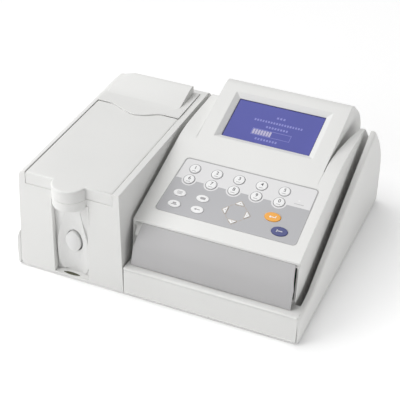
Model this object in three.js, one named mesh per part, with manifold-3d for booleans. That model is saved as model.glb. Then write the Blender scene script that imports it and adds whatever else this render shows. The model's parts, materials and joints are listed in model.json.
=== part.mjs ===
// Benchtop chemistry analyser: a measuring tower with a hinged lid and a printer on the left, and an
// inclined console with a keypad and a hooded display on the right, both standing in one base tray.
// Millimetres, +Z up. The corner frame used below has x = 0 at the tower's left foot, y = 0 at the
// front foot and z = 0 on the table. The last lines move the origin to the bottom centre.
import * as THREE from 'three';
import { mergeVertices } from 'three/addons/utils/BufferGeometryUtils.js';
import Module from 'manifold-3d';

const wasm = await Module();
wasm.setup();

// Overall sizes
const WIDTH = 360; // tower's left foot to the outer face of the cheek
const DEPTH = 315; // front foot to the rear wall
const TOP = 138; // table to the level top
const WALL = 2.8; // moulded shells
const GAP = 0.3; // between pieces that rest on or pass each other
const RUN = 0.08; // radial running clearance of shafts
const CUT = 6; // overrun of every cut
const WELD = 1e-4; // vertices this close are one
const FOOT_HEIGHT = 1.5;

// Tower
const TOWER_WIDTH = 139.6; // at its foot
const DRAFT = THREE.MathUtils.degToRad(1.87); // lean of the side and front walls
const TOWER_EDGE = 7; // rounding of the upper left edge
const LID_LEFT = 13; // seams of the lid
const LID_RIM = 12.6; // of the tower, right of the lid
const LID_RIGHT = TOWER_WIDTH - LID_RIM;
const LID_BACK = 188;
const LID_HEIGHT = 16;
const LID_EDGE = 3;
const NOSE_X = 71; // finger nose over the sampling niche
const NOSE_Y = 7.5;
const NOSE_RADIUS = 22;
const NOSE_BOTTOM = 110;
const NOSE_STEPS = 16;
const NICHE_LEFT = 47;
const NICHE_RIGHT = 93.5;
const NICHE_BOTTOM = 5;
const NICHE_BACK = 18;
const LID_PIN_RADIUS = 2;
const LID_PIN_Y = 166; // far enough in front of the printer cover's edge for the lid to pass under it
const LID_PIN_DROP = 6.5; // from the top to the pin
const LUG = 4.2; // width of the hinge lugs
const LUG_END = 1; // closed end of their bores
const DECK_TOP = 100.5; // floor of the compartment under the lid
const DECK_THICK = 2.5;

// Rear profile shared by tower, console and cheek
const REAR_CORNER_Y = 268;
const REAR_CORNER_DROP = 4.5;
const REAR_ROUND = 8;
const REAR_STRAIGHT = 50; // height at which the rear wall becomes upright

// Printer cover
const COVER_FRONT = 186; // front edge at the two sides
const COVER_WAVE = 14; // how far the edge comes forward in its middle
const COVER_BACK = 252;
const COVER_LIP = 1.3;
const WEDGE_START = 208;
const WEDGE_HEIGHT = 12.5;
const WEDGE_LEFT = 17;
const WEDGE_SHOULDER = 36;
const WEDGE_RIM = 8.5; // of the cover, right of the wedge
const WEDGE_RIGHT = LID_RIGHT - WEDGE_RIM;
const WEDGE_SIDE_DROP = 7;
const WEDGE_EDGE = 2;
const COVER_PIN_RADIUS = 1;
const COVER_PIN_BEHIND = 2.4; // behind the rear wall of the cover
const COVER_PIN_RISE = 2.6; // over the level top
const COVER_LUG = 6;
const COVER_LUG_PLAY = 1; // between a lug of the tower and the cover's arm beside it
const COVER_LUG_LEFT = 34;
const COVER_LUG_INSET = 20.5; // from the wedge's right side
const COVER_LUG_RIGHT = WEDGE_RIGHT - COVER_LUG_INSET;
const COVER_KNUCKLE_WALL = 1.1; // round the pin

// Base tray
const SKIRT = 4.5; // bulge left of the tower
const SKIRT_HEIGHT = 51;
const skirtShares = [[0, 0.98], [0.3, 0.92], [0.62, 0.84], [0.86, 0.75], [0.97, 0.66], [1, 0.56], [1, 0.14],
  [0.9, 0.05], [0.7, 0]]; // of its bulge and of its height
const FLOOR = 3;
const LEDGE_HEIGHT = 40;
const LEDGE_DEPTH = 22;
const LEDGE_EDGE = 4;
const ledgeLipShares = [[1, 0], [0.4, 0.15], [0.1, 0.45], [0.1, 0.75], [0.3, 1]]; // of its rounded edge
const SILL_HEIGHT = 12;
const CHEEK_THICK = 7;
const CHEEK_EDGE = 3;
const CHEEK_TOE = 49; // where the cheek's straight slope starts
const CHEEK_TOE_RISE = 3; // over the ledge, there
const CHEEK_CREST = 136.5;
const CHEEK_CREST_SHIFT = 2; // behind the rear corner of the tower
const CHEEK_CORE = 2; // slot that hollows the cheek from below
const CHEEK_SKIN = 3.4; // over that slot
const CHEEK_GAP = 7.2; // between the console and the cheek
const PLATE = 1.5; // steel chassis plate

// Console
const CONSOLE_LEFT = TOWER_WIDTH + 2 * GAP;
const CONSOLE_RIGHT = WIDTH - CHEEK_THICK - CHEEK_GAP;
const CONSOLE_WIDTH = CONSOLE_RIGHT - CONSOLE_LEFT;
const acrossConsole = (share) => CONSOLE_LEFT + share * CONSOLE_WIDTH;
const LIP_Y = 29.7;
const LIP_Z = 92.3;
const LIP_THICK = 2.8;
const TILT = THREE.MathUtils.degToRad(17.6);
const MERGE = 133; // along the slope, where hood and shoulders part
const SHOULDER_Y = 205;
const PANEL_FOOT_Y = 9;
const PANEL_WAIST_Y = 10;
const PANEL_WAIST_Z = 62;
const PANEL_BREAST_Z = 72;
const PANEL_INSET = 5.8; // left end, from the console's left wall
const PANEL_LEFT = CONSOLE_LEFT + PANEL_INSET;
const PANEL_RIGHT = CONSOLE_RIGHT + GAP;
const PANEL_TOE = 1; // setback of the lower right corner
const PANEL_LEAN = 6.5; // how far the left edge leans in towards the lip
const PANEL_LEAN_RIGHT = 5;
const SIDE_SETBACK = 24; // front edge of the console's side walls, behind the panel
const HOOD_LEFT = acrossConsole(0.106);
const HOOD_RIGHT = acrossConsole(0.9134);
const HOOD_REACH = 246; // along the slope
const HOOD_ROUND = 9;
const VALLEY_WIDTH = 14.6; // between the hood's right wall and the shoulder, at the rear corner
const VALLEY_BEND = 215; // up to there it stays narrow
const VALLEY_FLOOR = 96;

// Keypad and display, along the slope
const KEYPAD_LEFT = acrossConsole(0.1153);
const KEYPAD_WIDTH = 0.8186 * CONSOLE_WIDTH;
const KEYPAD_START = 21.6;
const KEYPAD_HEIGHT = 84.5;
const KEYPAD_CORNER = 5;
const KEYPAD_FLARE_LEFT = 6.1; // how much further its front corners reach than its back ones
const KEYPAD_FLARE_RIGHT = 0.7;
const OVERLAY = 0.8;
const OVERLAY_RIM = 3; // ledge that carries the overlay
const KEY_RISE = 0.7; // keys over the console's surface
const KEY_FLANGE = 0.8;
const KEY_FLANGE_RIM = 0.9;
const KEY_TRAVEL = 0.8;
const FLANGE_TOP = -OVERLAY - 1.5 * GAP; // of the keys' flanges, under the overlay
const KEY_GAP = 0.35;
const keyColumn = (share) => KEYPAD_LEFT + share * KEYPAD_WIDTH;
const keyRow = (share) => KEYPAD_START + share * KEYPAD_HEIGHT;
const BOARD = 1.6;
const DIGIT_RADIUS = 0.0757 * KEYPAD_HEIGHT;
const DIGIT_X = keyColumn(0.0986);
const DIGIT_PITCH = 0.1693 * KEYPAD_WIDTH;
const DIGIT_ROW_HIGH = keyRow(0.8272);
const DIGIT_ROW_LOW = keyRow(0.6272);
const DIGIT_ROW_SHIFT = -0.0042 * KEYPAD_WIDTH;
const OVAL_WIDTH = 0.0921 * KEYPAD_WIDTH;
const OVAL_HEIGHT = 0.1207 * KEYPAD_HEIGHT;
const OVAL_X = keyColumn(0.0802);
const OVAL_PITCH = 0.1741 * KEYPAD_WIDTH;
const OVAL_ROW_HIGH = keyRow(0.3598);
const OVAL_ROW_LOW = keyRow(0.1574);
const ARROW_X = keyColumn(0.5217);
const ARROW_Y = keyRow(0.2757);
const ARROW_RING = 0.1586 * KEYPAD_HEIGHT;
const ARROW_WIDTH = 0.1349 * KEYPAD_HEIGHT;
const ARROW_LENGTH = 0.0659 * KEYPAD_HEIGHT;
const ENTER_WIDTH = 0.1176 * KEYPAD_WIDTH;
const ENTER_HEIGHT = 0.1515 * KEYPAD_HEIGHT;
const ENTER_X = keyColumn(0.7742);
const ESCAPE_X = keyColumn(0.8604);
const SCREEN_WIDTH = 0.5545 * CONSOLE_WIDTH;
const SCREEN_HEIGHT = 64.4;
const SCREEN_X = acrossConsole(0.5097);
const SCREEN_Y = 187;
const RECESS_MARGIN = 7; // bevelled border of the screen
const RECESS_DEPTH = 4;
const FRAME_BORDER = 5;
const WINDOW_THICK = 1.5;
const WINDOW_BORDER = 3;
const MODULE_THICK = 8;
const MODULE_BORDER = 7;

// Sampling panel and button
const SHIELD_FRONT = 6;
const PLATE_FRONT = 9;
const TROUGH_RADIUS = 42;
const TROUGH_DEPTH = 4.2;
const BUTTON_Z = 52;
const BUTTON_WIDTH = 20;
const BUTTON_HEIGHT = 28;
const BUTTON_RISE = 5;
const BUTTON_BODY = 7;
const BUTTON_STEM = 4;
const BUTTON_TRAVEL = 3;
const BUTTON_EDGE = 1.2;
const BUTTON_MOAT = 0.8; // how far its hole is wider, and shifted to the right
const DRAIN = { shift: 2, rise: 2, width: 24, height: 2.4, depth: 1 };
const shieldShares = [[0, 0.58], [0.07, 0.8], [0.14, 0.93], [0.25, 0.98], [0.4, 0.965], [0.51, 0.88],
  [0.71, 0.62], [0.86, 0.465], [1, 0.465]];
const NEEDLE_RADIUS = 1.2;
const NEEDLE_DROP = 5;

// Feet
const FOOT_RADIUS = 7;
const FOOT_STEM = 2.2;
const FOOT_INSET_X = 22;
const FOOT_INSET_Y = 34;
const FOOT_EDGE = 0.5;

// Optics and pump under the lid
const CELL = { inset: 43.6, y: 70, width: 30, depth: 40, height: 26, rise: 8, well: 12.5 };
CELL.x = TOWER_WIDTH - CELL.inset;
const PUMP = { x: 0.469 * (CELL.x - CELL.width / 2), y: 62, size: 42, corner: 4, height: 38, rotor: 17,
  rise: 12, shaft: 2.5, roller: 4, disc: 2, step: 1 };
const OPTIC_Z = 89;
const OPTIC_RADIUS = 3.5;
const WHEEL = { y: 104, radius: 28, thick: 5, filters: 8, ring: 21, shaft: 2.5, motor: 12, motorLength: 28,
  clear: 1, bracket: 4 };
const WHEEL_Z = OPTIC_Z - WHEEL.ring;
const LAMP = { y: 152, width: 40, depth: 44, bulb: 3.6, socket: 6 };
const DETECTOR_DEPTH = 12;

// Printer
const PRINTER_X = WEDGE_LEFT + 0.532 * (WEDGE_RIGHT - WEDGE_LEFT);
const PAPER_WIDTH = 57;
const PAPER_PLAY = 1; // beside the paper, at each end
const PLATEN_RADIUS = 5;
const PLATEN_SHAFT = 2.2;
const PLATEN_Y = 231.2;
const PLATEN_Z = 134;
const PLATEN_TOP = PLATEN_Z + PLATEN_RADIUS;
const SPINDLE_RADIUS = 5;
const ROLL_RADIUS = 14.5;
const ROLL_Y = 216.5;
const ROLL_Z = 119.5;
const PRINTER = { front: 200, back: 247, plate: 2.5 };

// Console electronics and rear wall
const BOARD_RISE = 10;
const boardChipShares = [[0.12, 0.2, 0.16, 0.18], [0.4, 0.3, 0.12, 0.2], [0.62, 0.12, 0.1, 0.3],
  [0.14, 0.62, 0.2, 0.1]];
const POWER_BACK = 33; // from the rear wall to the power supply, past the mains module
const POWER = { x: acrossConsole(0.466), width: 0.4767 * CONSOLE_WIDTH, depth: 74, height: 46 };
POWER.y = DEPTH - POWER_BACK - POWER.depth;
const REAR_Z = 31;
const MAINS = { x: acrossConsole(0.7967), width: 46, height: 24, depth: 24, pin: 2, pinHeight: 4 };
const ROCKER = { width: 12.4, height: 18, depth: 11, setback: 6, swing: 2.2, pin: 1.2, pinEnd: 1.2,
  seat: 1.6 };
const ROCKER_X = MAINS.x - MAINS.width / 2 + ROCKER.width / 2 + WALL;
const ROCKER_Y = DEPTH - ROCKER.setback;
const PORT = { x: acrossConsole(0.3687), width: 20, height: 10, depth: 12 };
const FAN = { x: acrossConsole(0.1741), size: 30, depth: 11, radius: 12.5, hub: 5, shaft: 1.5, shaftShort: 3,
  blades: 5, slots: 6, spoke: 2, web: 1.6, tip: 1, chord: 5.2, bladeThick: 1.2, pitch: 0.6, end: 1 };

const pose = new THREE.Matrix4();

// A closed three.js geometry as a solid that can be cut and joined
function solid(geometry) {
  const plain = geometry.index ? geometry.toNonIndexed() : geometry.clone();
  plain.deleteAttribute('normal');
  plain.deleteAttribute('uv');
  const merged = mergeVertices(plain, WELD);
  return new wasm.Manifold(new wasm.Mesh({
    numProp: 3,
    vertProperties: merged.attributes.position.array,
    triVerts: new Uint32Array(merged.index.array),
  }));
}

function geometryOf(body) {
  const mesh = body.getMesh();
  const geometry = new THREE.BufferGeometry();
  geometry.setAttribute('position', new THREE.BufferAttribute(new Float32Array(mesh.vertProperties), 3));
  geometry.setIndex(new THREE.BufferAttribute(new Uint32Array(mesh.triVerts), 1));
  const faceted = geometry.toNonIndexed();
  faceted.computeVertexNormals();
  return faceted;
}

const vectors = (points) => points.map(([a, b]) => new THREE.Vector2(a, b));
const pairs = (points) => points.map((p) => [p.x, p.y]);
const joinAll = (bodies) => bodies.reduce((whole, body) => whole.add(body));
const cutAll = (body, cuts) => cuts.reduce((rest, cut) => rest.subtract(cut), body);

// Extrusions of an outline: along X it is drawn in Y and Z, along Y in X and Z, along Z in X and Y
function extrude(points, length, edge = 0, edgeSteps = 2) {
  const shape = new THREE.Shape(vectors(points));
  return new THREE.ExtrudeGeometry(shape, {
    depth: length - 2 * edge,
    steps: 1,
    bevelEnabled: edge > 0,
    bevelThickness: edge,
    bevelSize: edge,
    bevelOffset: -edge,
    bevelSegments: edgeSteps,
  }).translate(0, 0, edge);
}

function alongX(points, from, to, edge, steps) {
  pose.makeBasis(new THREE.Vector3(0, 1, 0), new THREE.Vector3(0, 0, 1), new THREE.Vector3(1, 0, 0));
  return extrude(points, to - from, edge, steps).applyMatrix4(pose).translate(from, 0, 0);
}

function alongY(points, from, to, edge, steps) {
  pose.makeBasis(new THREE.Vector3(1, 0, 0), new THREE.Vector3(0, 0, 1), new THREE.Vector3(0, -1, 0));
  return extrude(points, to - from, edge, steps).applyMatrix4(pose).translate(0, to, 0);
}

function alongZ(points, from, to, edge, steps) {
  return extrude(points, to - from, edge, steps).translate(0, 0, from);
}

function box(x0, x1, y0, y1, z0, z1) {
  return new THREE.BoxGeometry(x1 - x0, y1 - y0, z1 - z0)
    .translate((x0 + x1) / 2, (y0 + y1) / 2, (z0 + z1) / 2);
}

const block = (...sides) => solid(box(...sides));

// Round bars; the axis is 'x', 'y' or 'z' and the other two coordinates are given in that order
function bar(axis, radius, from, to, a, b, sides = 24) {
  const geometry = new THREE.CylinderGeometry(radius, radius, to - from, sides);
  const middle = (from + to) / 2;
  if (axis === 'x') return geometry.rotateZ(-Math.PI / 2).translate(middle, a, b);
  if (axis === 'y') return geometry.translate(a, middle, b);
  return geometry.rotateX(Math.PI / 2).translate(a, b, middle);
}

const rod = (...sizes) => solid(bar(...sizes));

// A round hole whose flat facets clear a shaft by the running clearance
const bore = (radius, sides = 24) => (radius + RUN) / Math.cos(Math.PI / sides);

// A closed outline moved inwards by a distance
function inset(points, distance) {
  const count = points.length;
  return points.map((point, i) => {
    const before = points[(i + count - 1) % count];
    const after = points[(i + 1) % count];
    const a = new THREE.Vector2(point[0] - before[0], point[1] - before[1]).normalize();
    const b = new THREE.Vector2(after[0] - point[0], after[1] - point[1]).normalize();
    const normal = new THREE.Vector2(-a.y - b.y, a.x + b.x).normalize();
    const reach = distance / Math.max(normal.dot(new THREE.Vector2(-a.y, a.x)), 0.35);
    return [point[0] + normal.x * reach, point[1] + normal.y * reach];
  });
}

function ellipse(cx, cy, width, height, sides) {
  return Array.from({ length: sides }, (_, i) => {
    const turn = (2 * Math.PI * i) / sides;
    return [cx + (width / 2) * Math.cos(turn), cy + (height / 2) * Math.sin(turn)];
  });
}

function roundedRectangle(x0, y0, width, height, radius, steps = 4) {
  const corners = [[width - radius, height - radius], [radius, height - radius], [radius, radius],
    [width - radius, radius]];
  return corners.flatMap(([cx, cy], corner) => Array.from({ length: steps + 1 }, (_, i) => {
    const turn = (Math.PI / 2) * (corner + i / steps);
    return [x0 + cx + radius * Math.cos(turn), y0 + cy + radius * Math.sin(turn)];
  }));
}

// Sheets and blocks that taper evenly from one rectangle to another
function taper(x, y, topWidth, topHeight, lowWidth, lowHeight, lowZ, topZ) {
  const geometry = new THREE.BoxGeometry(1, 1, topZ - lowZ);
  const place = geometry.attributes.position;
  for (let i = 0; i < place.count; i += 1) {
    const top = place.getZ(i) > 0;
    place.setX(i, place.getX(i) * (top ? topWidth : lowWidth));
    place.setY(i, place.getY(i) * (top ? topHeight : lowHeight));
  }
  return geometry.translate(x, y, (topZ + lowZ) / 2);
}

const analyser = new THREE.Group();
const slope = new THREE.Group();
slope.position.set(0, LIP_Y, LIP_Z);
slope.rotation.x = TILT;
analyser.add(slope);
slope.updateMatrix();
const onSlope = (geometry) => solid(geometry.applyMatrix4(slope.matrix));

const finish = (color, roughness = 0.5, metalness = 0) => () => new THREE.MeshStandardMaterial({
  color, roughness, metalness,
});
const whiteShell = finish(0xeceae6, 0.45);
const greyPanel = finish(0xc4c4c6, 0.4);
const overlayPrint = finish(0xd6d7d9, 0.35);
const keyWhite = finish(0xf2f2f2, 0.35);
const keyOrange = finish(0xf2a32c, 0.35);
const keyNavy = finish(0x333c7c, 0.35);
const glassBlue = finish(0x5256a8, 0.12);
const blackPlastic = finish(0x222326, 0.5);
const rubber = finish(0x2b2b2d, 0.9);
const steel = finish(0xb4b7ba, 0.35, 0.9);
const aluminium = finish(0xc8cacc, 0.4, 0.85);
const boardGreen = finish(0x1f6b3a, 0.5);
const paper = finish(0xf6f5f0, 0.85);
const clearTube = finish(0xdfe4e6, 0.25);

function add(parent, name, body, material, ...place) {
  const mesh = new THREE.Mesh(body.isBufferGeometry ? body : geometryOf(body), material());
  mesh.name = name;
  if (place.length) mesh.position.set(...place);
  parent.add(mesh);
  return mesh;
}

// Rear profile from a level top down to the upright rear wall
function rearProfile(top, cornerY = REAR_CORNER_Y, steps = 7) {
  const cornerZ = top - REAR_CORNER_DROP;
  const corner = new THREE.QuadraticBezierCurve(
    new THREE.Vector2(cornerY - REAR_ROUND, top),
    new THREE.Vector2(cornerY - REAR_CORNER_DROP, top),
    new THREE.Vector2(cornerY, cornerZ),
  );
  const fall = cornerZ - REAR_STRAIGHT;
  const sweep = new THREE.CubicBezierCurve(
    new THREE.Vector2(cornerY, cornerZ),
    new THREE.Vector2(cornerY + fall / 4, cornerZ - fall / 4),
    new THREE.Vector2(DEPTH, REAR_STRAIGHT + fall * 0.42),
    new THREE.Vector2(DEPTH, REAR_STRAIGHT),
  );
  return [...pairs(corner.getPoints(3)), ...pairs(sweep.getPoints(steps)).slice(1)];
}

const PLATE_LOW = FOOT_HEIGHT + FLOOR + GAP;
const SHELL_FOOT = PLATE_LOW + PLATE + GAP; // shells stand just over the chassis plate
const LID_FOOT = TOP - LID_HEIGHT;
const LID_PIN_Z = TOP - LID_PIN_DROP;
const DECK_LOW = DECK_TOP - DECK_THICK;
const BUTTON_FACE = SHIELD_FRONT + TROUGH_DEPTH - BUTTON_RISE;
const COVER_PIN_Y = COVER_BACK + COVER_PIN_BEHIND;
const COVER_PIN_Z = TOP + COVER_PIN_RISE;

// Tower housing
const lean = Math.tan(DRAFT);

// Side and front walls lean in with height
function drafted(geometry) {
  const place = geometry.attributes.position;
  for (let i = 0; i < place.count; i += 1) {
    const [x, y, z] = [place.getX(i), place.getY(i), place.getZ(i)];
    place.setX(i, x + z * lean * (1 - (2 * x) / TOWER_WIDTH));
    place.setY(i, y + z * lean * (1 - y / DEPTH));
  }
  return geometry;
}

const towerOutline = (front) => [[front, TOP], [front, FOOT_HEIGHT], [DEPTH, FOOT_HEIGHT],
  ...rearProfile(TOP).reverse()];

function noseOutline(radius, back) {
  const round = Array.from({ length: NOSE_STEPS + 1 }, (_, i) => {
    const turn = Math.PI + (Math.PI * i) / NOSE_STEPS;
    return [NOSE_X + radius * Math.cos(turn), NOSE_Y + radius * Math.sin(turn)];
  });
  return [[NOSE_X + radius, back], [NOSE_X - radius, back], ...round];
}

function towerHousing() {
  const right = TOWER_WIDTH - WALL;
  const reach = TOWER_WIDTH + 2 * TOWER_EDGE;
  const outer = cutAll(solid(drafted(alongX(towerOutline(-2 * TOWER_EDGE), 0, reach, TOWER_EDGE, 3))), [
    solid(drafted(box(TOWER_WIDTH, reach + CUT, -reach, DEPTH + CUT, 0, TOP + CUT))),
    solid(drafted(box(-CUT, reach, -reach, 0, 0, TOP + CUT))),
  ]);
  const cavity = solid(drafted(alongX(inset(towerOutline(0), WALL), WALL, right, TOWER_EDGE - WALL, 2)));
  const open = solid(drafted(box(WALL, right, WALL, DEPTH - WALL, -CUT, SHELL_FOOT + TOWER_EDGE)));
  const skirtRoom = block(-CUT, TOWER_WIDTH + CUT, WALL + GAP, DEPTH + CUT, 0, SHELL_FOOT);
  const sillRoom = block(-CUT, TOWER_WIDTH + CUT, DEPTH - 2 * WALL, DEPTH + CUT, 0, SILL_HEIGHT + GAP);
  const shell = cutAll(outer, [cavity, open, skirtRoom, sillRoom]);
  const noseBody = solid(alongZ(noseOutline(NOSE_RADIUS, NICHE_BACK), NOSE_BOTTOM, LID_FOOT - GAP));
  const pocket = block(NICHE_LEFT - WALL, NICHE_RIGHT + WALL, WALL, NICHE_BACK + WALL, FOOT_HEIGHT,
    NOSE_BOTTOM + WALL);
  const noseRoom = solid(alongZ(noseOutline(NOSE_RADIUS - WALL, NICHE_BACK + CUT), NOSE_BOTTOM + WALL, TOP));
  const niche = block(NICHE_LEFT, NICHE_RIGHT, -NOSE_RADIUS, NICHE_BACK, NICHE_BOTTOM, NOSE_BOTTOM);
  const lidRoom = block(LID_LEFT, LID_RIGHT, -NOSE_RADIUS, COVER_BACK + WALL, LID_FOOT - GAP, TOP + CUT);
  const lugs = [LID_LEFT - GAP - LUG, LID_RIGHT + GAP].map((x) => block(x, x + LUG,
    LID_PIN_Y - 2.4 * LID_PIN_RADIUS, LID_PIN_Y + 2.4 * LID_PIN_RADIUS,
    LID_PIN_Z - 2.4 * LID_PIN_RADIUS, TOP - WALL / 2));
  const ribTop = DECK_LOW - GAP;
  const ribs = [[WALL / 2, 2 * WALL], [TOWER_WIDTH - 2 * WALL, TOWER_WIDTH - WALL / 2]].map(
    ([x0, x1]) => solid(drafted(box(x0, x1, WALL, COVER_BACK, ribTop - WALL, ribTop))),
  );
  const knuckles = coverLugX.map((x) => coverKnuckle(x, COVER_BACK + WALL + CUT / 2, TOP - WALL / 2));
  return cutAll(joinAll([shell, noseBody, pocket]), [noseRoom, niche, lidRoom])
    .add(joinAll([...lugs, ...ribs, ...knuckles]))
    .subtract(rod('x', bore(LID_PIN_RADIUS), LID_LEFT - GAP - LUG + LUG_END, LID_RIGHT + GAP + LUG - LUG_END,
      LID_PIN_Y, LID_PIN_Z))
    .subtract(coverPinHole())
    .subtract(rod('z', NEEDLE_RADIUS + GAP, NOSE_BOTTOM - CUT, NOSE_BOTTOM + CUT, NEEDLE_X, NEEDLE_Y, 12))
    .subtract(rod('y', BUTTON_STEM + GAP, NICHE_BACK - CUT / 2, NICHE_BACK + CUT, NOSE_X, BUTTON_Z, 16));
}

// Knuckles of the printer cover's hinge, behind the cover on the level top
const coverLugX = [COVER_LUG_LEFT, COVER_LUG_RIGHT];
const coverArmX = [COVER_LUG_LEFT + COVER_LUG + COVER_LUG_PLAY, COVER_LUG_RIGHT - COVER_LUG - COVER_LUG_PLAY];

function coverKnuckle(x, reach, low) {
  const radius = COVER_PIN_RADIUS + COVER_KNUCKLE_WALL;
  const behind = reach > COVER_PIN_Y;
  return rod('x', radius, x, x + COVER_LUG, COVER_PIN_Y, COVER_PIN_Z, 16)
    .add(block(x, x + COVER_LUG, behind ? COVER_PIN_Y : reach, behind ? reach : COVER_PIN_Y,
      low, COVER_PIN_Z + (behind ? 0 : radius / 2)));
}

const coverPinHole = () => rod('x', bore(COVER_PIN_RADIUS, 16), 0, TOWER_WIDTH, COVER_PIN_Y, COVER_PIN_Z, 16);

// Sampling nozzle, held in the floor of the nose
const NEEDLE_X = NOSE_X;
const NEEDLE_Y = NOSE_Y - NOSE_RADIUS / 2;

function sipperNeedle() {
  const seat = NOSE_BOTTOM + WALL + GAP;
  return rod('z', NEEDLE_RADIUS, NOSE_BOTTOM - NEEDLE_DROP, seat + NEEDLE_DROP, NEEDLE_X, NEEDLE_Y, 12)
    .add(rod('z', 2.4 * NEEDLE_RADIUS, seat, seat + NEEDLE_DROP / 2, NEEDLE_X, NEEDLE_Y, 16));
}

// Lid
function lidOutline(step) {
  const radius = NOSE_RADIUS - step;
  const front = TOP * lean + step;
  const start = Math.PI - Math.asin((front - NOSE_Y) / radius);
  const sweep = Math.PI + 2 * Math.asin((front - NOSE_Y) / radius);
  const nose = Array.from({ length: NOSE_STEPS + 1 }, (_, i) => {
    const turn = start + (sweep * i) / NOSE_STEPS;
    return [NOSE_X + radius * Math.cos(turn), NOSE_Y + radius * Math.sin(turn)];
  });
  return [[LID_RIGHT - GAP - step, LID_BACK - step], [LID_LEFT + GAP + step, LID_BACK - step],
    [LID_LEFT + GAP + step, front], ...nose, [LID_RIGHT - GAP - step, front]];
}

function lid() {
  const outer = solid(alongZ(lidOutline(0), LID_FOOT - 2 * LID_EDGE, TOP, LID_EDGE, 2));
  const room = solid(alongZ(lidOutline(WALL), 0, TOP - WALL));
  return cutAll(outer, [
    room,
    block(0, TOWER_WIDTH, -2 * NOSE_RADIUS, DEPTH, 0, LID_FOOT),
    rod('x', bore(LID_PIN_RADIUS), 0, TOWER_WIDTH, LID_PIN_Y, LID_PIN_Z),
  ]);
}

// Printer cover: a thin wavy front edge, from under which the paper leaves, rising to a wedge
const coverWaveShares = [[0, 0], [0.19, 0.06], [0.31, 0.5], [0.45, 0.94], [0.53, 1], [0.63, 0.76],
  [0.75, 0.16], [0.82, 0], [1, 0]];

function coverPlan() {
  const wave = new THREE.CatmullRomCurve3(coverWaveShares.map(([x, share]) => new THREE.Vector3(
    LID_LEFT + x * (LID_RIGHT - LID_LEFT),
    COVER_FRONT - share * COVER_WAVE,
    0,
  )), false, 'centripetal');
  return [...wave.getPoints(24).map((p) => [p.x, p.y]), [LID_RIGHT, COVER_BACK], [LID_LEFT, COVER_BACK]];
}

function printerCover() {
  const low = TOP + GAP;
  const lipTop = low + COVER_LIP;
  const crest = TOP + WEDGE_HEIGHT;
  const side = [[WEDGE_START - CUT, low], [COVER_BACK, low], [COVER_BACK, crest - WEDGE_EDGE],
    [COVER_BACK - WEDGE_EDGE, crest], [COVER_BACK - 3 * WALL, crest], [WEDGE_START, lipTop],
    [WEDGE_START - CUT, lipTop]];
  const across = [[WEDGE_LEFT, low], [WEDGE_RIGHT, low], [WEDGE_RIGHT, crest + CUT],
    [WEDGE_SHOULDER, crest + CUT], [WEDGE_SHOULDER, crest], [WEDGE_LEFT, crest - WEDGE_SIDE_DROP]];
  const sideRoom = [[WEDGE_START + 2 * WALL, low - CUT], [COVER_BACK - WALL, low - CUT],
    [COVER_BACK - WALL, crest - WALL], [COVER_BACK - 4 * WALL, crest - WALL],
    [WEDGE_START + 2 * WALL, lipTop]];
  const acrossRoom = [[WEDGE_LEFT + WALL, low - 2 * CUT], [WEDGE_RIGHT - WALL, low - 2 * CUT],
    [WEDGE_RIGHT - WALL, crest], [WEDGE_SHOULDER, crest],
    [WEDGE_LEFT + WALL, crest - WEDGE_SIDE_DROP - WALL / 2]];
  const plate = solid(alongZ(coverPlan(), low, lipTop));
  const wedge = solid(alongX(side, WEDGE_LEFT, WEDGE_RIGHT)).intersect(solid(alongY(across, 0, DEPTH)));
  const room = solid(alongX(sideRoom, WEDGE_LEFT + WALL, WEDGE_RIGHT - WALL))
    .intersect(solid(alongY(acrossRoom, 0, DEPTH)));
  const arms = coverArmX.map((x) => coverKnuckle(x, COVER_BACK - WALL / 2, low));
  return joinAll([plate.add(wedge).subtract(room), ...arms]).subtract(coverPinHole());
}

// Base tray: floor, front ledge, left skirt, rear sill and the right cheek
const ledgeLip = ledgeLipShares.map(([y, z]) => [y * LEDGE_EDGE, LEDGE_HEIGHT - z * LEDGE_EDGE]);
const trayBrow = ledgeLip.at(-1); // top of the front face, under the ledge's lip

function cheekOutline() {
  const toe = new THREE.CubicBezierCurve(
    new THREE.Vector2(CHEEK_TOE * 0.3, LEDGE_HEIGHT),
    new THREE.Vector2(CHEEK_TOE * 0.6, LEDGE_HEIGHT),
    new THREE.Vector2(CHEEK_TOE * 0.84, LEDGE_HEIGHT),
    new THREE.Vector2(CHEEK_TOE, LEDGE_HEIGHT + CHEEK_TOE_RISE),
  );
  return [trayBrow, [0, FOOT_HEIGHT], [DEPTH, FOOT_HEIGHT],
    ...rearProfile(CHEEK_CREST, REAR_CORNER_Y + CHEEK_CREST_SHIFT).slice(1).reverse(),
    ...pairs(toe.getPoints(5)).reverse(), [LEDGE_EDGE, LEDGE_HEIGHT]];
}

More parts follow.
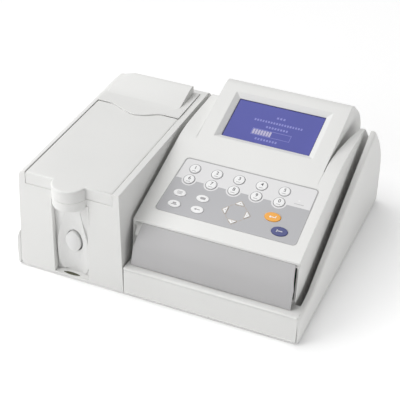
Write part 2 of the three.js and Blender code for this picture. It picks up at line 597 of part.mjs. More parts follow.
function baseTray() {
  const ledge = [[0, FOOT_HEIGHT], [LEDGE_DEPTH, FOOT_HEIGHT], [LEDGE_DEPTH, LEDGE_HEIGHT], ...ledgeLip];
  const floorTop = FOOT_HEIGHT + FLOOR;
  const ledgeRoom = [[WALL, floorTop], [LEDGE_DEPTH + CUT, floorTop],
    [LEDGE_DEPTH + CUT, LEDGE_HEIGHT - WALL], [1.4 * WALL, LEDGE_HEIGHT - WALL]];
  const skirtOutline = [[-GAP, FOOT_HEIGHT], [SKIRT_HEIGHT * lean - GAP, SKIRT_HEIGHT],
    ...skirtShares.map(([out, up]) => [-out * SKIRT, FOOT_HEIGHT + up * (SKIRT_HEIGHT - FOOT_HEIGHT)])];
  const skirt = solid(alongY(skirtOutline, 0, DEPTH));
  const beforeSkirt = solid(drafted(box(-3 * SKIRT, 0, -CUT, 0, 0, TOP)));
  const left = TOWER_WIDTH + GAP;
  const inner = WIDTH - CHEEK_THICK;
  const middle = WIDTH - CHEEK_THICK / 2;
  const cheek = solid(alongX(cheekOutline(), inner - CHEEK_THICK, WIDTH, CHEEK_EDGE, 2))
    .intersect(block(inner, WIDTH + CUT, -CUT, DEPTH + CUT, 0, 2 * TOP));
  const [coreLeft, coreRight] = [middle - CHEEK_CORE / 2, middle + CHEEK_CORE / 2];
  const core = solid(alongX(inset(cheekOutline(), CHEEK_SKIN), coreLeft, coreRight))
    .add(block(coreLeft, coreRight, 3 * WALL, DEPTH - 3 * WALL, 0, LEDGE_HEIGHT / 2));
  const floor = cutAll(block(-SKIRT / 2, middle, 0, DEPTH, FOOT_HEIGHT, floorTop), [
    block(-GAP, left, -CUT, WALL + 2 * GAP, 0, floorTop + CUT),
    block(NICHE_LEFT - WALL - GAP, NICHE_RIGHT + WALL + GAP, -CUT, NICHE_BACK + WALL + GAP, 0,
      floorTop + CUT),
  ]);
  const sill = block(-SKIRT / 2, middle, DEPTH - WALL, DEPTH, FOOT_HEIGHT, SILL_HEIGHT);
  const front = solid(alongX(ledge, left, middle)).subtract(solid(alongX(ledgeRoom, left + WALL, inner)));
  const stems = feetPlaces.map(([x, y]) => rod('z', FOOT_STEM + GAP, 0, floorTop + CUT, x, y, 16));
  return cutAll(joinAll([floor, sill, front, skirt, cheek]), [core, beforeSkirt, ...stems]);
}

// Rubber feet pushed into the floor
const feetPlaces = [[FOOT_INSET_X, FOOT_INSET_Y], [WIDTH - FOOT_INSET_X, FOOT_INSET_Y],
  [FOOT_INSET_X, DEPTH - FOOT_INSET_Y], [WIDTH - FOOT_INSET_X, DEPTH - FOOT_INSET_Y]];
const feetNames = ['foot_front_left', 'foot_front_right', 'foot_rear_left', 'foot_rear_right'];

function foot() {
  return new THREE.LatheGeometry(vectors([[0, 0], [FOOT_RADIUS - FOOT_EDGE, 0], [FOOT_RADIUS, FOOT_EDGE],
    [FOOT_RADIUS, FOOT_HEIGHT - GAP], [FOOT_STEM, FOOT_HEIGHT - GAP], [FOOT_STEM, FOOT_HEIGHT + FLOOR - GAP],
    [0, FOOT_HEIGHT + FLOOR - GAP]]), 20).rotateX(Math.PI / 2);
}

// Console housing with its hood
const PANEL_FOOT_Z = LEDGE_HEIGHT + 2 * GAP;
const LIP_LOW = LIP_Z - LIP_THICK;

function panelProfile() {
  const curve = new THREE.CubicBezierCurve(
    new THREE.Vector2(PANEL_FOOT_Y, PANEL_FOOT_Z),
    new THREE.Vector2(PANEL_FOOT_Y, PANEL_WAIST_Z),
    new THREE.Vector2(PANEL_WAIST_Y, PANEL_BREAST_Z),
    new THREE.Vector2(LIP_Y, LIP_LOW),
  );
  return pairs(curve.getPoints(8));
}

const slopePoint = (along) => [LIP_Y + along * Math.cos(TILT), LIP_Z + along * Math.sin(TILT)];

function consoleOutline() {
  const merge = slopePoint(MERGE);
  const shoulder = new THREE.QuadraticBezierCurve(
    new THREE.Vector2(...merge),
    new THREE.Vector2(merge[0] + (TOP - merge[1]) / Math.tan(TILT), TOP),
    new THREE.Vector2(SHOULDER_Y, TOP),
  );
  const behindLedge = LEDGE_DEPTH + 2 * GAP;
  return [[behindLedge, PANEL_FOOT_Z], [behindLedge, SHELL_FOOT], [DEPTH, SHELL_FOOT],
    ...rearProfile(TOP).reverse(), ...pairs(shoulder.getPoints(5)).reverse(), [LIP_Y, LIP_Z],
    ...panelProfile().reverse()];
}

function hoodOutline() {
  const [crestY, crestZ] = slopePoint(HOOD_REACH);
  const edge = new THREE.Vector2(...slopePoint(HOOD_REACH - HOOD_ROUND));
  const brow = new THREE.Vector2(crestY + HOOD_ROUND * 0.75, crestZ - HOOD_ROUND * 0.62);
  const corner = new THREE.QuadraticBezierCurve(edge, new THREE.Vector2(crestY, crestZ), brow);
  const fall = crestZ - 2 * REAR_STRAIGHT;
  const back = new THREE.CubicBezierCurve(
    brow,
    new THREE.Vector2(crestY + fall / 2, crestZ - fall / 2.2),
    new THREE.Vector2(DEPTH, 2 * REAR_STRAIGHT + fall / 2),
    new THREE.Vector2(DEPTH, 1.6 * REAR_STRAIGHT),
  );
  const inner = slopePoint(MERGE - WALL);
  return [inner, [inner[0] + LIP_Y, REAR_STRAIGHT * 2], [DEPTH - LIP_Y, REAR_STRAIGHT],
    [DEPTH, REAR_STRAIGHT], ...pairs(back.getPoints(7)).reverse(),
    ...pairs(corner.getPoints(3)).reverse().slice(1)];
}

// The overlay's outline, which widens towards the front, grown by a distance
function keypadOutline(distance) {
  return roundedRectangle(KEYPAD_LEFT - distance, KEYPAD_START - distance, KEYPAD_WIDTH + 2 * distance,
    KEYPAD_HEIGHT + 2 * distance, KEYPAD_CORNER).map(([x, y]) => {
    const down = (KEYPAD_START + KEYPAD_HEIGHT - y) / KEYPAD_HEIGHT;
    const across = (x - KEYPAD_LEFT) / KEYPAD_WIDTH;
    return [x + down * (across * KEYPAD_FLARE_RIGHT - (1 - across) * KEYPAD_FLARE_LEFT), y];
  });
}

// A box on the slope, centred on the screen
function screenBlock(width, height, low, high) {
  return onSlope(box(SCREEN_X - width / 2, SCREEN_X + width / 2, SCREEN_Y - height / 2, SCREEN_Y + height / 2,
    low, high));
}

// Valley in plan, with a narrow slit at its front; its walls are moved outwards by a distance
function valley(distance) {
  const start = slopePoint(MERGE)[0];
  const left = HOOD_RIGHT - distance;
  const right = HOOD_RIGHT + VALLEY_WIDTH + distance;
  const curve = new THREE.QuadraticBezierCurve(
    new THREE.Vector2(HOOD_RIGHT + 2 * GAP + distance, start - distance),
    new THREE.Vector2(HOOD_RIGHT + 2 * GAP + distance, VALLEY_BEND - distance),
    new THREE.Vector2(right, REAR_CORNER_Y - distance),
  );
  const plan = [[left, start - distance], ...pairs(curve.getPoints(8)), [right, DEPTH + CUT],
    [left, DEPTH + CUT]];
  return solid(alongZ(plan, VALLEY_FLOOR - distance, TOP + CUT));
}

// Closing wall of the recess beside the front panel's left end
function returnWall() {
  const outline = [[SIDE_SETBACK, LEDGE_HEIGHT - WALL], [SIDE_SETBACK + WALL, LEDGE_HEIGHT - WALL],
    [LIP_Y + 2 * WALL, LIP_LOW + WALL / 2], [LIP_Y, LIP_LOW + WALL / 2], [LIP_Y, LIP_LOW]];
  return solid(alongX(outline, CONSOLE_LEFT, PANEL_LEFT + PANEL_LEAN + 2 * WALL));
}

function consoleHousing() {
  const left = CONSOLE_LEFT + WALL;
  const right = CONSOLE_RIGHT - WALL;
  const outer = solid(alongX(consoleOutline(), CONSOLE_LEFT, CONSOLE_RIGHT))
    .add(solid(alongX(hoodOutline(), HOOD_LEFT, HOOD_RIGHT)));
  const cavity = solid(alongX(inset(consoleOutline(), WALL), left, right)).subtract(valley(WALL))
    .add(solid(alongX(inset(hoodOutline(), WALL), HOOD_LEFT + WALL, HOOD_RIGHT - WALL)));
  const open = block(left, right, LEDGE_DEPTH + WALL + 2 * GAP, DEPTH - WALL, -CUT, SHELL_FOOT + 2 * WALL);
  const backLine = panelProfile().map(([y, z]) => [y + WALL + 2 * GAP, z]);
  const frontOpening = solid(alongX([[-CUT, LEDGE_HEIGHT], [PANEL_FOOT_Y + WALL + 2 * GAP, LEDGE_HEIGHT],
    ...backLine, [-CUT, LIP_LOW]], left, CONSOLE_RIGHT + CUT));
  const beforeSides = [[-CUT, LEDGE_HEIGHT], [SIDE_SETBACK, LEDGE_HEIGHT], [LIP_Y, LIP_LOW], [-CUT, LIP_LOW]];
  const setbacks = [[CONSOLE_LEFT - CUT, left + WALL], [right - WALL, CONSOLE_RIGHT + CUT]].map(
    ([x0, x1]) => solid(alongX(beforeSides, x0, x1)),
  );
  const border = 2 * (RECESS_MARGIN + FRAME_BORDER);
  const screenFrame = screenBlock(SCREEN_WIDTH + border, SCREEN_HEIGHT + border, -RECESS_DEPTH - WALL / 4,
    -WALL / 2);
  const recess = onSlope(taper(SCREEN_X, SCREEN_Y, SCREEN_WIDTH + 2 * RECESS_MARGIN,
    SCREEN_HEIGHT + 2 * RECESS_MARGIN, SCREEN_WIDTH, SCREEN_HEIGHT, -RECESS_DEPTH, GAP / 10));
  const sight = screenBlock(SCREEN_WIDTH, SCREEN_HEIGHT, -2 * RECESS_DEPTH, -RECESS_DEPTH / 2);
  const seat = onSlope(alongZ(keypadOutline(GAP), FLANGE_TOP, CUT));
  const keyRoom = onSlope(alongZ(roundedRectangle(KEYPAD_LEFT + OVERLAY_RIM, KEYPAD_START + OVERLAY_RIM,
    KEYPAD_WIDTH - 2 * OVERLAY_RIM, KEYPAD_HEIGHT - 2 * OVERLAY_RIM, KEYPAD_CORNER / 2), -2 * WALL, 0));
  const sillRoom = block(CONSOLE_LEFT - CUT, WIDTH, DEPTH - WALL - 2 * GAP, DEPTH + CUT, 0,
    SILL_HEIGHT + GAP);
  return cutAll(cutAll(outer, [cavity, open, ...setbacks]).add(screenFrame).add(returnWall()),
    [frontOpening, recess, sight, seat, keyRoom, sillRoom, valley(0), ...rearOpenings()]);
}

// Openings in the rear wall for the mains module, the serial port and the fan
function rearOpenings() {
  const through = (part) => block(part.x - part.width / 2 - GAP, part.x + part.width / 2 + GAP,
    DEPTH - 2 * WALL, DEPTH + CUT, REAR_Z - part.height / 2 - GAP, REAR_Z + part.height / 2 + GAP);
  const pitch = (2 * FAN.radius) / FAN.slots;
  const slots = Array.from({ length: FAN.slots }, (_, i) => {
    const x = FAN.x - FAN.radius + pitch * (i + 0.5);
    const half = Math.sqrt(FAN.radius ** 2 - (x - FAN.x) ** 2);
    return block(x - pitch / 4, x + pitch / 4, DEPTH - 2 * WALL, DEPTH + CUT, REAR_Z - half, REAR_Z + half);
  });
  return [...[MAINS, PORT].map(through), ...slots];
}

// Front panel under the lip, a curved sheet with leaning ends
function frontPanel() {
  const profile = panelProfile();
  const sheet = solid(alongX([...profile.map(([y, z]) => [y + WALL, z]).reverse(), ...profile], PANEL_LEFT,
    PANEL_RIGHT));
  const high = LIP_LOW - GAP;
  const middle = (LEDGE_HEIGHT + high) / 2;
  const plan = [[PANEL_LEFT, LEDGE_HEIGHT], [PANEL_RIGHT - PANEL_TOE, LEDGE_HEIGHT], [PANEL_RIGHT, middle],
    [PANEL_RIGHT - PANEL_LEAN_RIGHT, high], [PANEL_LEFT + PANEL_LEAN, high],
    [PANEL_LEFT + PANEL_LEAN / 3, middle]];
  return sheet.intersect(solid(alongY(plan, -CUT, DEPTH)));
}

// Sampling panel with its raised shield and trough
function samplePanel() {
  const low = NICHE_BOTTOM + GAP;
  const high = NOSE_BOTTOM - GAP;
  const back = NICHE_BACK - GAP;
  const tall = (share) => low + share * (high - low);
  const outline = [...shieldShares.map(([z, half]) => [NOSE_X + half * NOSE_RADIUS, tall(z)]),
    ...shieldShares.map(([z, half]) => [NOSE_X - half * NOSE_RADIUS, tall(z)]).reverse()];
  const plate = block(NICHE_LEFT + GAP, NICHE_RIGHT - GAP, PLATE_FRONT, back, low, high);
  const shield = solid(alongY(outline, SHIELD_FRONT, back));
  const trough = rod('z', TROUGH_RADIUS, 0, TOP, NOSE_X, SHIELD_FRONT + TROUGH_DEPTH - TROUGH_RADIUS, 64);
  const clear = 2 * (KEY_GAP + BUTTON_MOAT);
  const hole = solid(alongY(ellipse(NOSE_X + BUTTON_MOAT, BUTTON_Z + BUTTON_MOAT / 2, BUTTON_WIDTH + clear,
    BUTTON_HEIGHT + clear, 28), -CUT, BUTTON_FACE + BUTTON_BODY + BUTTON_TRAVEL + GAP));
  const stem = rod('y', BUTTON_STEM + GAP, 0, DEPTH, NOSE_X, BUTTON_Z, 16);
  const drain = solid(alongY(ellipse(NOSE_X - DRAIN.shift, low + DRAIN.rise, DRAIN.width, DRAIN.height, 16),
    -CUT, PLATE_FRONT + DRAIN.depth));
  return cutAll(plate.add(shield), [trough, hole, stem, drain]);
}

function aspirateButton() {
  return solid(alongY(ellipse(NOSE_X, BUTTON_Z, BUTTON_WIDTH, BUTTON_HEIGHT, 28), BUTTON_FACE,
    BUTTON_FACE + BUTTON_BODY, BUTTON_EDGE, 2))
    .add(rod('y', BUTTON_STEM, BUTTON_FACE + BUTTON_BODY / 2, NICHE_BACK - GAP, NOSE_X, BUTTON_Z, 16));
}

// Keys: digits, ovals, arrows, enter and escape; each is an outline about its own centre
function triangle(turn) {
  const [back, side] = [-ARROW_LENGTH / 3, ARROW_WIDTH / 2];
  return [[-2 * back, 0], [back, side], [back, -side]].map(([x, y]) => [
    x * Math.cos(turn) - y * Math.sin(turn),
    x * Math.sin(turn) + y * Math.cos(turn),
  ]);
}

const keys = [];
'1234567890'.split('').forEach((digit, i) => keys.push({
  name: `key_${digit}`,
  x: DIGIT_X + DIGIT_PITCH * (i % 5) + (i > 4 ? DIGIT_ROW_SHIFT : 0),
  y: i > 4 ? DIGIT_ROW_LOW : DIGIT_ROW_HIGH,
  outline: ellipse(0, 0, 2 * DIGIT_RADIUS, 2 * DIGIT_RADIUS, 20),
  material: keyWhite,
}));
['key_menu', 'key_clear', 'key_print', 'key_back'].forEach((name, i) => keys.push({
  name,
  x: OVAL_X + OVAL_PITCH * (i % 2),
  y: i > 1 ? OVAL_ROW_LOW : OVAL_ROW_HIGH,
  outline: ellipse(0, 0, OVAL_WIDTH, OVAL_HEIGHT, 18),
  material: keyWhite,
}));
['key_right', 'key_up', 'key_left', 'key_down'].forEach((name, i) => keys.push({
  name,
  x: ARROW_X + ARROW_RING * Math.cos((i * Math.PI) / 2),
  y: ARROW_Y + ARROW_RING * Math.sin((i * Math.PI) / 2),
  outline: triangle((i * Math.PI) / 2),
  material: keyWhite,
}));
[['key_enter', ENTER_X, OVAL_ROW_HIGH, keyOrange], ['key_escape', ESCAPE_X, OVAL_ROW_LOW, keyNavy]].forEach(
  ([name, x, y, material]) => keys.push({
    name, x, y, material, outline: ellipse(0, 0, ENTER_WIDTH, ENTER_HEIGHT, 20),
  }),
);

function keyBody(outline) {
  return solid(alongZ(outline, FLANGE_TOP - KEY_FLANGE, KEY_RISE))
    .add(solid(alongZ(inset(outline, -KEY_FLANGE_RIM), FLANGE_TOP - KEY_FLANGE, FLANGE_TOP)));
}

function keypadOverlay() {
  const sheet = solid(alongZ(keypadOutline(0), -OVERLAY - GAP / 2, -GAP / 2));
  return sheet.subtract(joinAll(keys.map((key) => solid(alongZ(
    inset(key.outline, -KEY_GAP).map(([x, y]) => [x + key.x, y + key.y]),
    -CUT,
    CUT,
  )))));
}

// Inner deck under the lid and the parts that stand on it
function innerDeck() {
  const edge = WALL + DECK_TOP * lean + 2 * GAP;
  const plate = block(edge, TOWER_WIDTH - edge, NICHE_BACK + 2 * WALL, COVER_BACK - 2 * WALL, DECK_LOW,
    DECK_TOP);
  return cutAll(plate, [
    rod('z', PUMP.rotor / 2, 0, TOP, PUMP.x, PUMP.y, 20),
    block(CELL.x - CELL.width / 2 - GAP, CELL.x + CELL.width / 2 + GAP, CELL.y - CELL.depth / 2 - GAP,
      CELL.y + CELL.depth / 2 + GAP, 0, TOP),
  ]);
}

function pumpMotor() {
  const top = DECK_LOW - GAP;
  const corner = -PUMP.size / 2;
  return solid(alongZ(roundedRectangle(PUMP.x + corner, PUMP.y + corner, PUMP.size, PUMP.size, PUMP.corner,
    2), top - PUMP.height, top))
    .add(rod('z', PUMP.rotor / 2 - PUMP.step, top - PUMP.step, DECK_TOP, PUMP.x, PUMP.y, 20))
    .add(rod('z', PUMP.shaft, top, DECK_TOP + PUMP.rise - PUMP.disc, PUMP.x, PUMP.y, 24));
}

function pumpRotor() {
  const low = DECK_TOP + 2 * GAP;
  const high = DECK_TOP + PUMP.rise;
  const ring = PUMP.rotor - PUMP.roller;
  const discs = [low, high - PUMP.disc].map(
    (z) => rod('z', PUMP.rotor, z, z + PUMP.disc, PUMP.x, PUMP.y, 30),
  );
  const rollers = Array.from({ length: 3 }, (_, i) => {
    const turn = (2 * Math.PI * i) / 3;
    return rod('z', PUMP.roller, low + PUMP.disc / 2, high - PUMP.disc / 2, PUMP.x + ring * Math.cos(turn),
      PUMP.y + ring * Math.sin(turn), 16);
  });
  return joinAll([...discs, ...rollers, rod('z', 2 * PUMP.shaft, low, high, PUMP.x, PUMP.y, 20)])
    .subtract(rod('z', bore(PUMP.shaft), 0, high - PUMP.step, PUMP.x, PUMP.y));
}

function flowCell() {
  const high = DECK_TOP + CELL.rise;
  const low = high - CELL.height;
  const well = CELL.well / 2;
  return cutAll(block(CELL.x - CELL.width / 2, CELL.x + CELL.width / 2, CELL.y - CELL.depth / 2,
    CELL.y + CELL.depth / 2, low, high), [
    block(CELL.x - well, CELL.x + well, CELL.y - well, CELL.y + well, low + 2 * WALL, high + CUT),
    rod('y', OPTIC_RADIUS, 0, DEPTH, CELL.x, OPTIC_Z, 16),
  ]);
}

// Optical train behind the flow cell, along one axis: detector, cell, filter wheel and lamp
function detector() {
  const back = CELL.y - CELL.depth / 2 - GAP;
  return block(CELL.x - CELL.width / 2, CELL.x + CELL.width / 2, back - DETECTOR_DEPTH, back,
    OPTIC_Z - 2 * OPTIC_RADIUS, DECK_LOW - GAP)
    .subtract(rod('y', OPTIC_RADIUS, back - DETECTOR_DEPTH / 2, DEPTH, CELL.x, OPTIC_Z, 16));
}

function filterWheel() {
  const windows = Array.from({ length: WHEEL.filters }, (_, i) => {
    const turn = (2 * Math.PI * i) / WHEEL.filters;
    return rod('y', OPTIC_RADIUS, 0, DEPTH, CELL.x + WHEEL.ring * Math.sin(turn),
      WHEEL_Z + WHEEL.ring * Math.cos(turn), 12);
  });
  return rod('y', WHEEL.radius, WHEEL.y, WHEEL.y + WHEEL.thick, CELL.x, WHEEL_Z, 40)
    .add(rod('y', 2.4 * WHEEL.shaft, WHEEL.y - WHEEL.thick / 2, WHEEL.y + WHEEL.thick, CELL.x, WHEEL_Z, 20))
    .subtract(joinAll([...windows, rod('y', bore(WHEEL.shaft), WHEEL.y, DEPTH, CELL.x, WHEEL_Z)]));
}

function filterMotor() {
  const front = WHEEL.y + WHEEL.thick + WHEEL.clear;
  return rod('y', WHEEL.motor, front, front + WHEEL.motorLength, CELL.x, WHEEL_Z, 28)
    .add(rod('y', WHEEL.shaft, WHEEL.y + WHEEL.thick / 4, front + WHEEL.clear, CELL.x, WHEEL_Z))
    .add(block(CELL.x - WHEEL.motor / 2, CELL.x + WHEEL.motor / 2, front + WHEEL.bracket,
      front + WHEEL.motorLength - WHEEL.bracket, SHELL_FOOT, WHEEL_Z));
}

function lampHouse() {
  const half = LAMP.width / 2;
  const top = DECK_LOW - 2 * GAP;
  const low = OPTIC_Z - LAMP.socket - 2 * WALL;
  const back = LAMP.y + LAMP.depth;
  const bracket = block(CELL.x - half / 2, CELL.x + half / 2, LAMP.y + WALL, back - WALL, SHELL_FOOT,
    low + WALL / 2);
  return cutAll(block(CELL.x - half, CELL.x + half, LAMP.y, back, low, top).add(bracket), [
    block(CELL.x - half + WALL, CELL.x + half - WALL, LAMP.y + WALL, back + CUT, low + WALL, top - WALL),
    rod('y', OPTIC_RADIUS, 0, LAMP.y + 2 * WALL, CELL.x, OPTIC_Z, 16),
  ]);
}

function halogenLamp() {
  const back = LAMP.y + LAMP.depth;
  const profile = [[0, 0], [LAMP.bulb * 0.6, LAMP.bulb * 0.3], [LAMP.bulb, LAMP.bulb],
    [LAMP.bulb, LAMP.depth / 2.4], [LAMP.socket * 0.8, LAMP.depth / 2.2],
    [LAMP.socket * 0.8, LAMP.depth * 0.75], [0, LAMP.depth * 0.75]];
  return new THREE.LatheGeometry(vectors(profile), 20).translate(CELL.x, back - LAMP.depth * 0.8, OPTIC_Z);
}

// Printer: frame with spindle and print head, platen roller and paper roll
function printerFrame() {
  const outline = [[PRINTER.front, DECK_TOP + GAP], [PRINTER.back, DECK_TOP + GAP],
    [PRINTER.back, PLATEN_TOP], [PLATEN_Y - 2.2 * PLATEN_RADIUS, PLATEN_TOP],
    [PLATEN_Y - 3 * PLATEN_RADIUS, TOP - WALL], [PRINTER.front, TOP - WALL]];
  const sides = [-1, 1].map((way) => {
    const inner = PRINTER_X + way * (PAPER_WIDTH / 2 + PAPER_PLAY);
    return solid(alongX(outline, Math.min(inner, inner + way * PRINTER.plate),
      Math.max(inner, inner + way * PRINTER.plate)));
  });
  const half = PAPER_WIDTH / 2 + PAPER_PLAY + PRINTER.plate / 2;
  const base = block(PRINTER_X - half, PRINTER_X + half, PRINTER.front, PRINTER.back, DECK_TOP + GAP,
    DECK_TOP + GAP + PRINTER.plate);
  const nip = PLATEN_Y + PLATEN_RADIUS + GAP;
  const head = block(PRINTER_X - half, PRINTER_X + half, nip, nip + PLATEN_RADIUS, PLATEN_Z - PLATEN_RADIUS,
    PLATEN_TOP);
  const spindle = rod('x', SPINDLE_RADIUS, PRINTER_X - half, PRINTER_X + half, ROLL_Y, ROLL_Z, 24);
  return joinAll([...sides, base, head, spindle])
    .subtract(rod('x', bore(PLATEN_SHAFT), 0, TOWER_WIDTH, PLATEN_Y, PLATEN_Z));
}

function platenRoller() {
  const half = PAPER_WIDTH / 2;
  const end = half + PAPER_PLAY + PRINTER.plate;
  return rod('x', PLATEN_RADIUS, PRINTER_X - half, PRINTER_X + half, PLATEN_Y, PLATEN_Z, 24)
    .add(rod('x', PLATEN_SHAFT, PRINTER_X - end, PRINTER_X + end, PLATEN_Y, PLATEN_Z));
}

function paperRoll() {
  const half = PAPER_WIDTH / 2;
  return rod('x', ROLL_RADIUS, PRINTER_X - half, PRINTER_X + half, ROLL_Y, ROLL_Z, 36)
    .subtract(rod('x', bore(SPINDLE_RADIUS), 0, TOWER_WIDTH, ROLL_Y, ROLL_Z));
}

// Parts under the console
function mainBoard() {
  const low = SHELL_FOOT + BOARD_RISE;
  const [x0, x1] = [CONSOLE_LEFT + 4 * WALL, CONSOLE_RIGHT - 4 * WALL];
  const [y0, y1] = [LEDGE_DEPTH + 6 * WALL, POWER.y - 3 * WALL];
  const corners = [[x0 + CUT, y0 + CUT], [x1 - CUT, y0 + CUT], [x0 + CUT, y1 - CUT], [x1 - CUT, y1 - CUT]];
  const posts = corners.map(([x, y]) => rod('z', WALL, SHELL_FOOT, low + BOARD / 2, x, y, 10));
  const chips = boardChipShares.map(([x, y, width, depth]) => {
    const [cx, cy] = [x0 + x * (x1 - x0), y0 + y * (y1 - y0)];
    return block(cx, cx + width * (x1 - x0), cy, cy + depth * (y1 - y0), low, low + BOARD + WALL);
  });
  return joinAll([block(x0, x1, y0, y1, low, low + BOARD), ...posts, ...chips]);
}

function powerSupply() {
  return block(POWER.x, POWER.x + POWER.width, POWER.y, POWER.y + POWER.depth, SHELL_FOOT,
    SHELL_FOOT + POWER.height);
}

function keypadBoard() {
  const high = FLANGE_TOP - KEY_FLANGE - KEY_TRAVEL - GAP;
  return box(KEYPAD_LEFT, KEYPAD_LEFT + KEYPAD_WIDTH, KEYPAD_START, KEYPAD_START + KEYPAD_HEIGHT,
    high - BOARD, high);
}

function behindScreen(border, front, thick) {
  return box(SCREEN_X - SCREEN_WIDTH / 2 - border, SCREEN_X + SCREEN_WIDTH / 2 + border,
    SCREEN_Y - SCREEN_HEIGHT / 2 - border, SCREEN_Y + SCREEN_HEIGHT / 2 + border, front - thick, front);
}

const WINDOW_FRONT = -RECESS_DEPTH - WALL / 4 - GAP;

// Rear wall parts: a mains module with its rocker, a serial port and a fan
function mainsInlet() {
  const back = DEPTH - GAP;
  const low = REAR_Z - MAINS.height / 2;
  const left = MAINS.x - MAINS.width / 2;
  const right = left + MAINS.width;
  const wallIn = DEPTH - WALL - GAP;
  const socketLeft = left + ROCKER.width + 2 * WALL;
  const pins = [0.25, 0.5, 0.75].map((share) => {
    const x = socketLeft + share * (right - WALL / 2 - socketLeft);
    return block(x - MAINS.pin / 2, x + MAINS.pin / 2, back - MAINS.depth / 2 - MAINS.pin / 2, back - WALL,
      REAR_Z - MAINS.pinHeight / 2, REAR_Z + MAINS.pinHeight / 2);
  });
  return cutAll(joinAll([
    block(left, right, back - MAINS.depth, back, low, low + MAINS.height),
    block(left - WALL, right + WALL, wallIn - WALL, wallIn, low - WALL, low + MAINS.height + WALL),
  ]), [
    block(socketLeft, right - WALL / 2, back - MAINS.depth / 2, DEPTH, low + WALL / 2,
      low + MAINS.height - WALL / 2),
    block(ROCKER_X - ROCKER.width / 2 - GAP, ROCKER_X + ROCKER.width / 2 + GAP, back - MAINS.depth / 2, DEPTH,
      REAR_Z - ROCKER.height / 2 - 2 * GAP, REAR_Z + ROCKER.height / 2 + 2 * GAP),
    rod('x', bore(ROCKER.pin), ROCKER_X - ROCKER.width / 2 - ROCKER.seat,
      ROCKER_X + ROCKER.width / 2 + ROCKER.seat, ROCKER_Y, REAR_Z),
  ]).add(joinAll(pins));
}

function powerRocker() {
  const half = ROCKER.height / 2;
  const tip = ROCKER.swing;
  const face = ROCKER.depth / 4;
  const [left, right] = [ROCKER_X - ROCKER.width / 2, ROCKER_X + ROCKER.width / 2];
  const outline = [[-ROCKER.depth / 2, 0], [-ROCKER.depth / 3, -half * 0.7], [face + tip, -half + tip / 3],
    [face, 0], [face - tip / 2, half - tip / 3], [-ROCKER.depth / 3, half * 0.7]];
  return solid(alongX(outline.map(([y, z]) => [y + ROCKER_Y, z + REAR_Z]), left, right))
    .add(rod('x', ROCKER.pin, left - ROCKER.pinEnd, right + ROCKER.pinEnd, ROCKER_Y, REAR_Z));
}

function serialPort() {
  const back = DEPTH - GAP;
  const wallIn = DEPTH - WALL - GAP;
  const [halfX, halfZ] = [PORT.width / 2, PORT.height / 2];
  return block(PORT.x - halfX, PORT.x + halfX, back - PORT.depth, back, REAR_Z - halfZ, REAR_Z + halfZ)
    .add(block(PORT.x - halfX - WALL, PORT.x + halfX + WALL, wallIn - WALL / 2, wallIn, REAR_Z - halfZ - WALL,
      REAR_Z + halfZ + WALL));
}

function rearFan() {
  const back = DEPTH - WALL - GAP;
  const front = back - FAN.depth;
  const half = FAN.size / 2;
  const spoke = FAN.spoke / 2;
  const spokes = [[half, spoke], [spoke, half]].map(([x, z]) => block(FAN.x - x, FAN.x + x, front,
    front + FAN.web, REAR_Z - z, REAR_Z + z));
  return block(FAN.x - half, FAN.x + half, front, back, REAR_Z - half, REAR_Z + half)
    .subtract(rod('y', FAN.radius + FAN.tip, 0, DEPTH, FAN.x, REAR_Z, 36))
    .add(joinAll([...spokes, rod('y', FAN.hub, front, front + FAN.web, FAN.x, REAR_Z, 20),
      rod('y', FAN.shaft, front, back - FAN.shaftShort, FAN.x, REAR_Z)]));
}

function fanRotor() {
  const front = DEPTH - WALL - FAN.depth + FAN.web + GAP;
  const back = DEPTH - WALL - 2 * GAP - FAN.end;
  const blades = Array.from({ length: FAN.blades }, (_, i) => {
    const blade = box(FAN.hub - FAN.end, FAN.radius, -FAN.chord / 2, FAN.chord / 2, -FAN.bladeThick / 2,
      FAN.bladeThick / 2).rotateX(FAN.pitch).rotateY((2 * Math.PI * i) / FAN.blades);
    return solid(blade.translate(FAN.x, (front + back) / 2, REAR_Z));
  });
  return joinAll([rod('y', FAN.hub, front, back, FAN.x, REAR_Z, 20), ...blades])
    .subtract(rod('y', bore(FAN.shaft), 0, back - FAN.end, FAN.x, REAR_Z));
}

add(analyser, 'base_tray', baseTray(), whiteShell);
add(analyser, 'chassis_plate', block(3 * GAP, WIDTH - CHEEK_THICK - 2 * GAP, NICHE_BACK + 2 * WALL,
  DEPTH - WALL - 2 * GAP, PLATE_LOW, PLATE_LOW + PLATE), steel);
feetPlaces.forEach(([x, y], i) => add(analyser, feetNames[i], foot(), rubber, x, y, 0));
add(analyser, 'tower_housing', towerHousing(), whiteShell);
add(analyser, 'sample_panel', samplePanel(), greyPanel);
add(analyser, 'aspirate_button', aspirateButton(), keyWhite);
add(analyser, 'sipper_needle', sipperNeedle(), steel);
add(analyser, 'lid', lid(), whiteShell);
add(analyser, 'lid_hinge_pin', bar('x', LID_PIN_RADIUS, LID_LEFT - LUG + 2 * GAP + LUG_END,
  LID_RIGHT + LUG - 2 * GAP - LUG_END, LID_PIN_Y, LID_PIN_Z), steel);
add(analyser, 'printer_cover', printerCover(), whiteShell);
add(analyser, 'printer_hinge_pin', bar('x', COVER_PIN_RADIUS, coverLugX[0], coverLugX[1] + COVER_LUG,
  COVER_PIN_Y, COVER_PIN_Z, 16), steel);
add(analyser, 'printer_frame', printerFrame(), blackPlastic);
add(analyser, 'platen_roller', platenRoller(), rubber);
add(analyser, 'paper_roll', paperRoll(), paper);
add(analyser, 'inner_deck', innerDeck(), greyPanel);
add(analyser, 'pump_motor', pumpMotor(), steel);
add(analyser, 'pump_rotor', pumpRotor(), blackPlastic);
add(analyser, 'flow_cell', flowCell(), aluminium);
add(analyser, 'detector', detector(), blackPlastic);
add(analyser, 'filter_wheel', filterWheel(), aluminium);
add(analyser, 'filter_motor', filterMotor(), steel);
add(analyser, 'lamp_house', lampHouse(), aluminium);
